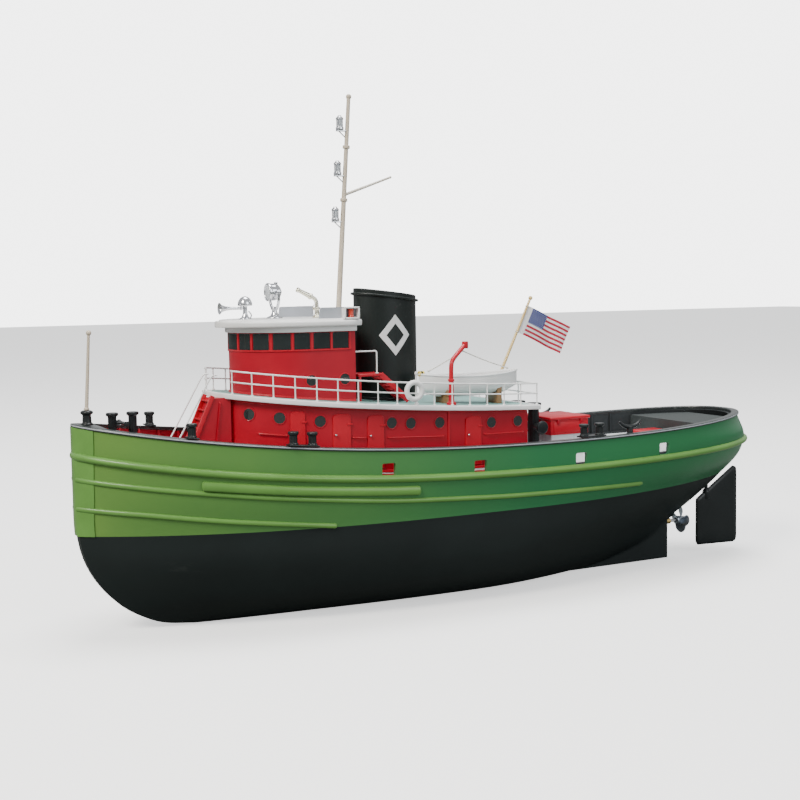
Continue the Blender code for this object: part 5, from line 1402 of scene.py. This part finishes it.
def make_mast():
    """Raked dowel mast with collars and a ball truck, a gaff boom and lamp shelves."""
    rake = unit(MAST_HEAD - MAST_FOOT)
    t = np.linspace(0, 1, 40)
    mast = Shape()
    pipe(mast, MAST_FOOT + (MAST_HEAD - MAST_FOOT) * t[:, None], 1.55 - 0.5 * t, 24)
    ball(mast, MAST_HEAD, 1.5, 24)
    for z in (158.0, 219.1, 247.3):
        at = MAST_FOOT + rake * (z - MAST_FOOT[2]) / rake[2]
        turned(mast, [(0, -0.9), (1.95, -0.9), (1.95, 0.9), (0, 0.9)], at, rake, 28, 0.4)
    mast.make("mast_pole", MAST_WOOD, "cabin", "mast_wood", "mast")
    boom = Shape()
    heel = MAST_FOOT + rake * (221.8 - MAST_FOOT[2]) / rake[2]
    tip = np.array([40.3, 0.0, 231.9])
    pipe(boom, heel + (tip - heel) * np.linspace(0, 1, 14)[:, None], np.linspace(0.85, 0.6, 14), 14)
    ball(boom, tip, 0.72, 12)
    boom.make("mast_boom", BOOM_WOOD, "cabin", "mast_wood")
    shelves = Shape()
    for number, z in enumerate((211.6, 236.1, 260.0), 1):
        on_mast = MAST_FOOT + rake * (z - MAST_FOOT[2]) / rake[2]
        x = on_mast[0] + 4.6
        block(shelves, (on_mast[0], -0.9, z - 4.5), (x + 2.0, 0.9, z - 3.9), 0.15)
        pipe(shelves, [(on_mast[0] + 1.0, 0, z - 8.0), (x + 0.5, 0, z - 4.4)], 0.35, 8)
        body = Shape()
        turned(body, [(0, -3.75), (2.15, -3.75), (2.15, -2.4), (1.6, -2.1), (1.6, -1.9), (0, -1.9)],
               (x, 0, z), sides=28)
        turned(body, [(0, 1.7), (1.6, 1.7), (2.2, 2.0), (1.7, 2.9), (1.1, 3.3), (0.9, 3.9), (0, 3.9)],
               (x, 0, z), sides=28)
        for k in range(4):
            angle = k * math.pi / 2 + math.pi / 4
            px, py = x + 1.75 * math.cos(angle), 1.75 * math.sin(angle)
            pipe(body, [(px, py, z - 2.3), (px, py, z + 2.0)], 0.2, 6)
        body.make(f"lamp_body_{number}", BRIGHT, "cabin", "plated_metal", f"mast_lamp_{number}")
        glass = Shape()
        rings = np.linspace(-2.0, 1.8, 20)
        profile = np.stack([1.45 + 0.12 * np.cos(np.arange(20) * math.pi), rings], axis=1)
        turned(glass, profile, (x, 0, z), sides=24, soften=0)
        glass.make(f"lamp_lens_{number}", CLEAR_LENS, "cabin", "plated_metal")
    shelves.make("lamp_shelves", BRIGHT, "cabin", "plated_metal")


ROOF_TOP = 156.2
HORN_X = 126.5


def make_roof_gear():
    """Horn, searchlight, fire monitor and side-light boards on the pilothouse."""
    horn = Shape()
    turned(horn, [(0, 0), (3.2, 0), (3.2, 0.7), (2.0, 1.2), (1.2, 3.0), (1.1, 6.6), (1.8, 8.6), (0, 8.8)],
           (HORN_X, 0, ROOF_TOP), sides=28, soften=0.4)
    turned(horn, [(0, 163.3), (3.6, 163.3), (3.9, 164.1), (3.5, 165.8), (2.5, 167.4), (1.2, 168.2),
                  (0, 168.4)], (HORN_X, 0, 0), sides=36, soften=0.7)
    turned(horn, [(0, 0), (1.0, 0), (1.0, 1.0), (0.75, 1.5), (0.85, 6.5), (1.2, 9.3), (1.9, 11.3),
                  (3.2, 12.6), (2.85, 12.6), (1.6, 11.5), (0.8, 9.6), (0, 8.6)],
           (128.0, 0, 162.2), (1, 0, 0), 36, 0.35)
    pipe(horn, [(124.0, 0, 156.4), (122.8, 0, 158.4), (124.6, 0, 160.6)], 0.4, 8, soften=1.0)
    horn.make("horn_body", BRIGHT, "cabin", "plated_metal", "horn")

    x, z = 110.0, 170.3
    stand = Shape()
    turned(stand, [(0, ROOF_TOP), (4.2, ROOF_TOP), (4.2, ROOF_TOP + 0.9), (2.2, ROOF_TOP + 1.8),
                   (1.5, ROOF_TOP + 3.4), (1.4, 160.6), (2.0, 161.2), (2.0, 162.2), (0, 162.4)],
           (x, 0, 0), sides=32, soften=0.35)
    fork = [(x, 6.3, z), (x, 6.3, 165.6), (x, 4.0, 161.9), (x, -4.0, 161.9), (x, -6.3, 165.6), (x, -6.3, z)]
    pipe(stand, fork, 0.75, 12, soften=1.8)
    for y in (-6.0, 6.0):
        turned(stand, [(0, -0.9), (1.15, -0.9), (1.15, 0.9), (0, 0.9)], (x, y, z), (0, 1, 0), 20, 0.25)
    stand.make("searchlight_fork", BRIGHT, "searchlight_stand", "plated_metal", "searchlight_stand")
    lamp = Shape()
    turned(lamp, [(0, -4.0), (0.9, -4.0), (1.3, -3.4), (2.8, -2.9), (4.1, -1.5), (4.5, 0.3), (4.5, 2.6),
                  (4.8, 2.8), (4.8, 4.1), (4.2, 4.1), (4.0, 3.0), (0, 3.0)], (x, 0, z), (1, 0, 0), 40, 0.3)
    turned(lamp, [(0, 0), (0.9, 0), (1.0, 1.6), (0, 1.8)], (x - 1.0, 0, z + 3.6), sides=16, soften=0.3)
    for y in (-5.1, 5.1):
        pipe(lamp, [(x, y * 0.84, z), (x, y, z)], 0.7, 12)
    lamp.make("searchlight_body", BRIGHT, "searchlight_head", "plated_metal", "searchlight_head")
    glass = Shape()
    turned(glass, [(0, 3.05), (4.15, 3.05), (4.15, 3.5), (3.0, 3.85), (1.5, 4.0), (0, 4.05)],
           (x, 0, z), (1, 0, 0), 40, 0.2)
    glass.make("searchlight_lens", CLEAR_LENS, "searchlight_head", "plated_metal")

    monitor = Shape()
    x, y = 88.4, 6.0
    turned(monitor, [(0, 0), (2.4, 0), (2.4, 0.9), (1.5, 1.5), (1.3, 2.4), (1.3, 4.4), (1.8, 4.8),
                     (1.8, 5.8), (0, 5.9)], (x, y, ROOF_TOP), sides=28, soften=0.25)
    pipe(monitor, [(x, y, 158.0), (x, y, 165.6), (91.2, y, 167.5), (94.0, y, 168.8)], 1.05, 16, soften=2.6)
    turned(monitor, [(0, 0), (1.7, 0), (1.7, 0.9), (1.35, 1.4), (1.05, 7.6), (1.35, 8.0), (1.35, 9.1),
                     (0.7, 9.1), (0.7, 8.0), (0, 8.0)], (91.4, y, 167.5), (0.9, 0, 0.44), 24, 0.2)
    wheel = ring_angles(24)
    rim_line = np.stack([x + 1.6 * np.cos(wheel), np.full(24, 4.6), 161.8 + 1.6 * np.sin(wheel)], axis=1)
    pipe(monitor, rim_line, 0.22, 6, closed=True)
    pipe(monitor, [(x, 4.5, 161.8), (x, y, 161.8)], 0.35, 8)
    monitor.make("monitor_body", PALE_BRASS, "cabin", "brass_fitting", "fire_monitor")

    for side, y, glow in (("starboard", -28.0, GREEN_LENS), ("port", 28.0, RED_LENS)):
        board = Shape()
        out = math.copysign(1.0, y)
        outline = rounded([(75.6, 155.9), (96.9, 155.9), (96.0, 162.1), (76.0, 162.1)], 0.9, True)
        plate(board, outline, y - 0.5, y + 0.5)
        board.make(f"light_screen_{side}", BOARD_GREY, "cabin", "grey_paint", f"light_board_{side}")
        box = Shape()
        near, far = min(y, y + 4.4 * out), max(y, y + 4.4 * out)
        sides = (((75.5, 84.4), (155.9, 156.8)), ((75.5, 76.3), (155.9, 162.1)),
                 ((83.4, 84.2), (155.9, 162.1)), ((75.5, 84.2), (161.4, 162.2)))
        for (x0, x1), (z0, z1) in sides:
            block(box, (x0, near, z0), (x1, far, z1), 0.2)
        box.make(f"light_box_{side}", GLOSS_WHITE, "cabin", "white_paint")
        lamp = Shape()
        turned(lamp, [(0, 0), (1.6, 0), (1.6, 0.6), (1.35, 0.9), (1.35, 3.4), (1.6, 3.7), (1.2, 4.3),
                      (0, 4.4)], (79.8, y + 2.4 * out, 156.8), sides=24, soften=0.15)
        lamp.make(f"side_lamp_{side}", glow, "cabin", "red_plastic" if side == "port" else "plated_metal")


# ---- deck fittings ----------------------------------------------------------------------------
def bollard(shape, foot, top, at, r, cap):
    """Fluted post with a small foot and a flared flat cap."""
    profile = [(0, foot), (r + 0.5, foot), (r + 0.5, foot + 0.5), (r, foot + 1.0), (r, top - 2.0),
               (cap, top - 1.3), (cap, top - 0.35), (cap * 0.9, top), (0, top + 0.1)]
    return turned(shape, profile, (at[0], at[1], 0), sides=60, soften=0.2, flutes=12, flute_depth=0.22)


def make_rail_bollards(name, node, middle, y, shifts, tall):
    """Bollards on a thin plate that follows the slope of the cap rail."""
    base = sheer(middle) + RAIL_THICK + 0.35
    slope = (sheer(middle + 8) - sheer(middle - 8)) / 16
    pair = Shape()
    reach = max(shifts) + 2.9
    x = np.linspace(middle + reach, middle - reach, 12)
    slab(pair, x, 2.7, base + slope * (x - middle) + 0.25, base + slope * (x - middle) + 1.0, 0.3, y)
    for shift in shifts:
        lift = slope * shift
        bollard(pair, base + lift + 0.9, base + lift + tall, (middle + shift, y), 2.05, 2.75)
    pair.make(name, GLOSS_BLACK, "hull", "black_paint", node)


def make_bollards():
    """Three groups of rail bollards a side, and a horn cleat whose horns rise by 1 - cos."""
    for side, sign in (("port", 1), ("starboard", -1)):
        for name, node, x, out, shifts, tall in (
                ("fore_bollard", "bollard_fore", 169.0, 36.4, (0.0,), 7.7),
                ("waist_bollards", "bollards_mid", 116.7, 50.6, (-5.1, 5.1), 7.5),
                ("quarter_bollards", "bollards_aft", -55.3, 53.6, (-5.2, 5.2), 7.5)):
            make_rail_bollards(f"{name}_{side}", f"{node}_{side}", x, out * sign, shifts, tall)
        x, y = -87.4, 46.0 * sign
        foot, top = deck_height(x) + 0.15, sheer(x) + 4.5
        cleat = Shape()
        turned(cleat, [(0, foot), (2.5, foot), (2.5, foot + 0.7), (1.9, foot + 1.4), (1.8, top),
                       (0, top + 0.4)], (x, y, 0), sides=28)
        swing = np.linspace(-0.9, 0.9, 25)
        horn = np.stack([x + 9.0 * np.sin(swing), np.full(25, y),
                         top + 8.0 * (1 - np.cos(swing)) - 0.4], axis=1)
        pipe(cleat, horn, 1.25 - 0.45 * np.abs(swing / 0.9) ** 2, 14)
        for tip in (horn[0], horn[-1]):
            ball(cleat, tip, 0.85, 14)
        cleat.make(f"horn_cleat_{side}", GLOSS_BLACK, "hull", "black_paint", f"cleat_{side}")


def make_bow_gear():
    """Stem post with its jackstaff, and the bow bitt: two posts joined by a bar."""
    post = Shape()
    foot = sheer(211.0) + RAIL_THICK + 0.4
    turned(post, [(0, foot), (3.0, foot), (3.0, foot + 0.8), (2.3, foot + 1.4), (2.1, 111.2),
                  (3.1, 111.9), (3.1, 112.8), (2.2, 113.4), (0, 113.4)], (211.0, 0, 0), sides=48, soften=0.25)
    post.make("stem_post", GLOSS_BLACK, "hull", "black_paint", "king_post")
    staff = Shape()
    low, high = np.array([211.0, 0, 113.6]), np.array([208.6, 0, 151.7])
    t = np.linspace(0, 1, 20)
    pipe(staff, low + (high - low) * t[:, None], 0.95 - 0.25 * t, 16)
    turned(staff, [(0, 0), (1.35, 0), (1.35, 0.8), (0.95, 1.3), (0, 1.4)], low, sides=20)
    ball(staff, high, 1.35, 20)
    staff.make("jack_pole", MAST_WOOD, "hull", "mast_wood", "jackstaff")
    bitt = Shape()
    for x in (198.4, 188.0):
        bollard(bitt, deck_height(x) + 0.6, 111.5, (x, 0.0), 2.15, 3.1)
    turned(bitt, [(0, -7.5), (1.35, -7.5), (1.35, -6.7), (0.95, -6.3), (0.95, 6.3), (1.35, 6.7),
                  (1.35, 7.5), (0, 7.5)], (193.2, 0, 106.0), (0, 1, 0), 20)
    block(bitt, (188.0, -0.7, 105.4), (198.4, 0.7, 106.6), 0.25)
    bitt.make("bow_bitt_posts", GLOSS_BLACK, "hull", "black_paint", "bow_bitt")


def make_tow_bitt():
    """Tow bitt: two fluted posts on a bolted plate, with a spool-ended bar across them."""
    x = -46.5
    foot = deck_height(x) + 0.15
    bitt = Shape()
    block(bitt, (x - 5.1, -13.4, foot), (x + 5.1, 13.4, foot + 1.0), 0.3)
    for y in (-8.5, 8.5):
        bollard(bitt, foot + 0.7, 103.8, (x, y), 3.3, 4.6)
    turned(bitt, [(0, -18.5), (3.2, -18.5), (3.9, -18.0), (3.9, -17.1), (2.4, -16.4), (2.3, 16.4),
                  (3.9, 17.1), (3.9, 18.0), (3.2, 18.5), (0, 18.5)], (x, 0, 90.0), (0, 1, 0), 36, 0.35)
    for y in (-11.6, -5.4, 5.4, 11.6):
        for dx in (-4.0, 4.0):
            turned(bitt, [(0, 0), (0.6, 0), (0.5, 0.5), (0, 0.6)], (x + dx, y, foot + 0.95), sides=8,
                   soften=0.1)
    bitt.make("tow_bitt_posts", GLOSS_BLACK, "hull", "black_paint", "tow_bitt")


def make_hatches():
    """Hatch lids: a walled box under an overhanging top with battens, and hasps on the taller one."""
    for name, node, body, aft, fore, half, top, tall in (
            ("engine_hatch", "aft_hatch", "aft_hatch", -77.5, -57.5, 11.5, 95.0, 10.4),
            ("store_hatch", "lazarette_hatch", "lazarette_hatch", -146.5, -134.0, 7.5, 80.6, 2.6)):
        lid = Shape()
        outer = 3.1
        x0, x1, y1 = aft - outer, fore + outer, half + outer
        foot, shoulder = top - tall, top - 0.9
        section = rounded([(0.0, foot), (0.0, shoulder), (-1.2, shoulder), (-1.2, foot)], 0.15, True)
        ring = np.array([(x1, y1), (x0, y1), (x0, -y1), (x1, -y1)])
        walls = np.stack([np.stack([ring[:, 0] + np.sign(ring[:, 0] - (x0 + x1) / 2) * out,
                                    ring[:, 1] + np.sign(ring[:, 1]) * out,
                                    np.full(4, z)], axis=1) for out, z in section], axis=1)
        lid.skin(walls, along=True)
        block(lid, (x0 - 1.1, -y1 - 1.1, top - 1.6), (x1 + 1.1, y1 + 1.1, top + 0.15), 0.5)
        battens = Shape()
        for y in np.linspace(-y1 * 0.66, y1 * 0.66, 3):
            block(battens, (x0 + 0.6, y - 0.55, top), (x1 - 0.6, y + 0.55, top + 0.2), 0.08)
        if tall > 5:
            for side in (-1, 1):
                y = side * y1
                block(lid, (x0 + 2.0, min(y, y + 0.35 * side), foot + 1.2),
                      (x1 - 2.0, max(y, y + 0.35 * side), top - 3.0), 0.2)
                for x in (x0 + 5.0, x1 - 5.0):
                    block(battens, (x - 0.8, min(y, y + side), top - 4.4),
                          (x + 0.8, max(y, y + side), top - 1.2), 0.2)
        lid.make(f"{name}_lid", TRIM_RED, body, "red_paint", node)
        battens.make(f"{name}_battens", CABIN_RED, body, "red_paint")


# ---- running gear --------------------------------------------------------------------------------
def make_rudder():
    """Blade with rounded edges on its stock, with a round boss on the stock."""
    counter = 26.0 + (-154.0 + 175.0) / 1.59 - 4.5
    aft_top = 26.0 + (-154.0 + 205.0) / 1.59 - 4.5
    fore = np.array([(-176.6, 4.6), (-175.2, 6.2), (-175.0, 8.5), (-175.0, counter - 0.6), (-175.6, counter)])
    back = np.array([(-205.0, 3.7), (-207.4, 4.6), (-208.0, 7.2), (-207.7, 51.0), (-207.2, 53.0),
                     (-205.0, aft_top)])
    edge = np.concatenate([rounded(fore, 1.2), rounded(back, 1.2)[::-1]])
    centre = edge.mean(axis=0)
    rows = []
    for scale, thick in ((1.0, 0.15), (0.995, 0.7), (0.965, 1.25), (0.90, 1.45), (0.5, 1.5), (0.02, 1.5)):
        rows.append((centre + (edge - centre) * scale, thick))
    rows = [(p, -t) for p, t in rows[::-1]] + rows
    grid = np.stack([np.stack([p[:, 0], np.full(len(p), t), p[:, 1]], axis=1) for p, t in rows])
    blade = Shape().skin(grid)
    turned(blade, [(0, 20.0), (1.2, 20.0), (1.2, 68.0), (0, 68.0)], (-183.0, 0, 0), sides=20, soften=0.15)
    turned(blade, [(0, 34.0), (2.4, 34.0), (2.4, 38.5), (1.5, 40.5), (0, 40.5)], (-183.0, 0, 0), sides=24,
           soften=0.3)
    blade.make("rudder_blade", GLOSS_BLACK, "rudder", "black_paint", "rudder")


def make_propeller():
    """Four twisted blades with rounded tips on a tapered hub with a bore."""
    x, z, radius = -162.5, 22.4, 8.3
    screw = Shape()
    profile = [(1.3, -4.6), (1.8, -4.6), (2.7, 3.2), (2.6, 4.1), (1.3, 4.2)]
    line = rounded(profile, 0.3, True)
    angle = ring_angles(32)
    grid = np.stack([x + line[:, 1][:, None] + 0 * angle, line[:, 0][:, None] * np.cos(angle),
                     z + line[:, 0][:, None] * np.sin(angle)], axis=-1)
    screw.skin(grid, along=True)
    r = np.linspace(2.1, radius - 0.05, 20)[:, None]
    chord = (3.7 * np.sin(math.pi * np.clip((r - 0.6) / (radius - 0.5), 0, 1)) ** 0.6 + 0.25)
    tip = ((r - 4.6) / (radius - 4.55)).clip(0, 1)
    chord = np.minimum(chord, 3.5 * np.sqrt(np.maximum(1 - tip ** 2, 0.01)) + 0.15)
    pitch = np.arctan2(11.0, 2 * math.pi * r)
    turn = ring_angles(20)[None]
    across, thick = chord * np.cos(turn), (0.48 - 0.03 * r) * np.sin(turn)
    ahead = np.sin(pitch) * across + np.cos(pitch) * thick
    side = np.cos(pitch) * across - np.sin(pitch) * thick
    for quarter in range(4):
        swing = quarter * math.pi / 2
        up = r + 0 * side
        grid = np.stack([x + ahead, side * math.cos(swing) - up * math.sin(swing),
                         z + side * math.sin(swing) + up * math.cos(swing)], axis=-1)
        screw.skin(grid)
    screw.make("propeller_blades", CAST, "drive_line", "propeller_metal", "propeller")


# ---- flag ---------------------------------------------------------------------------------------
def make_flag():
    """Ensign on a raked staff: cloth that hangs from its hoist and flies aft in soft folds."""
    low, high = np.array([-22.3, 0.0, 106.9]), np.array([-50.4, 0.0, 164.4])
    rake = unit(high - low)
    staff = Shape()
    t = np.linspace(0, 1, 24)
    pipe(staff, low + (high - low) * t[:, None], 0.95 - 0.25 * t, 16)
    ball(staff, high, 1.25, 20)
    turned(staff, [(0, 0), (1.6, 0), (1.6, 2.2), (1.1, 3.0), (0, 3.0)], low + rake * 1.0, rake, 20, 0.25)
    block(staff, (-25.4, -1.7, boat_deck_height(-23.0) + 0.1), (-20.6, 1.7, 108.6), 0.4)
    staff.make("ensign_staff", STAFF_WOOD, "cabin", "staff_wood", "flagstaff")
    length, hoist = 31.6, 17.0
    u, v = np.meshgrid(np.linspace(0, 1, 90), np.linspace(0, 1, 46), indexing="ij")
    top = low + (high - low) * 0.92
    fly = np.array([-0.917, 0.0, -0.398])
    ripple = 1.15 * np.sin(2 * math.pi * (u * 1.15 + 0.18 * v)) * u ** 0.8 + 0.35 * np.sin(15 * u + 4 * v) * u
    sag = -0.9 * u ** 2 * (1 - 0.35 * v)
    middle = (top + length * 0.985 * u[..., None] * fly - hoist * (1 - v)[..., None] * rake
              + np.stack([0 * u - 1.0, ripple, sag], axis=-1))
    slope_u, slope_v = np.gradient(middle, axis=0), np.gradient(middle, axis=1)
    normal = unit(np.cross(slope_u, slope_v))
    front, back = middle + 0.09 * normal, middle - 0.09 * normal
    uv = np.stack([u, v], axis=-1)
    grid = np.concatenate([front, back[:, ::-1]], axis=1)
    uv = np.concatenate([uv, uv[:, ::-1]], axis=1)
    cloth = Shape().skin(grid, caps="ladder", uv=uv)
    flag = cloth.make("ensign_cloth", FLAG_CLOTH, "cabin", "flag_cloth", "flag", sharp=60)
    ties = Shape()
    for share in (0.02, 0.98):
        at = top - rake * hoist * share
        angle = ring_angles(20)
        side = np.array([0.0, 1.0, 0.0])
        ahead = np.cross(rake, side)
        loop = at + 0.95 * (np.cos(angle)[:, None] * side + np.sin(angle)[:, None] * ahead)
        pipe(ties, loop, 0.2, 6, closed=True)
    ties.make("ensign_ties", LINE, "cabin", "falls_cord")


make_deckhouse()
make_boat_deck()
make_pilothouse()
make_funnel()
make_rails()
make_front_ladder()
make_aft_stairs()
make_lifeboat()
make_davit()
make_mast()
make_roof_gear()
make_bollards()
make_bow_gear()
make_tow_bitt()
make_hatches()
make_rudder()
make_propeller()
make_flag()


# ---- studio -----------------------------------------------------------------------------
SKY = 0.65
FLOOR_DROP = -0.0004


def make_studio():
    """Pale floor, soft sky and three large lamps."""
    mesh = bpy.data.meshes.new("studio_floor")
    reach = 6.0
    corners = [(x * reach, y * reach, FLOOR_DROP) for x, y in ((-1, -1), (1, -1), (1, 1), (-1, 1))]
    mesh.from_pydata(corners, [], [(0, 1, 2, 3)])
    floor = bpy.data.objects.new("studio_floor", mesh)
    mesh.materials.append(pale_ground())
    bpy.context.scene.collection.objects.link(floor)
    world = bpy.data.worlds.new("studio_sky")
    world.use_nodes = True
    nodes, links = world.node_tree.nodes, world.node_tree.links
    sky = nodes["Background"]
    sky.inputs["Color"].default_value = (0.97, 0.985, 1.0, 1.0)
    sky.inputs["Strength"].default_value = SKY
    backdrop, seen, blend = (nodes.new("ShaderNode" + kind)
                             for kind in ("Background", "LightPath", "MixShader"))
    backdrop.inputs["Strength"].default_value = 6.0
    links.new(seen.outputs["Is Camera Ray"], blend.inputs[0])
    links.new(sky.outputs[0], blend.inputs[1])
    links.new(backdrop.outputs[0], blend.inputs[2])
    links.new(blend.outputs[0], nodes["World Output"].inputs["Surface"])
    bpy.context.scene.world = world
    lamps = (
        ("key_lamp", (1.15, 0.55, 1.15), 0.55, 28.0, (1.0, 0.95, 0.86)),
        ("fill_lamp", (-0.5, 1.5, 0.7), 0.9, 9.0, (0.92, 0.97, 1.0)),
        ("top_lamp", (-0.1, -0.1, 1.6), 0.8, 28.0, (1.0, 1.0, 1.0)),
    )
    for name, at, size, power, colour in lamps:
        light = bpy.data.lights.new(name, "AREA")
        light.size = size
        light.energy = power
        light.color = colour
        lamp = bpy.data.objects.new(name, light)
        aim = (Vector((0.03, 0, 0.08)) - Vector(at)).to_track_quat("-Z", "Y")
        lamp.matrix_world = Matrix.Translation(at) @ aim.to_matrix().to_4x4()
        bpy.context.scene.collection.objects.link(lamp)


make_studio()
bpy.context.view_layer.update()
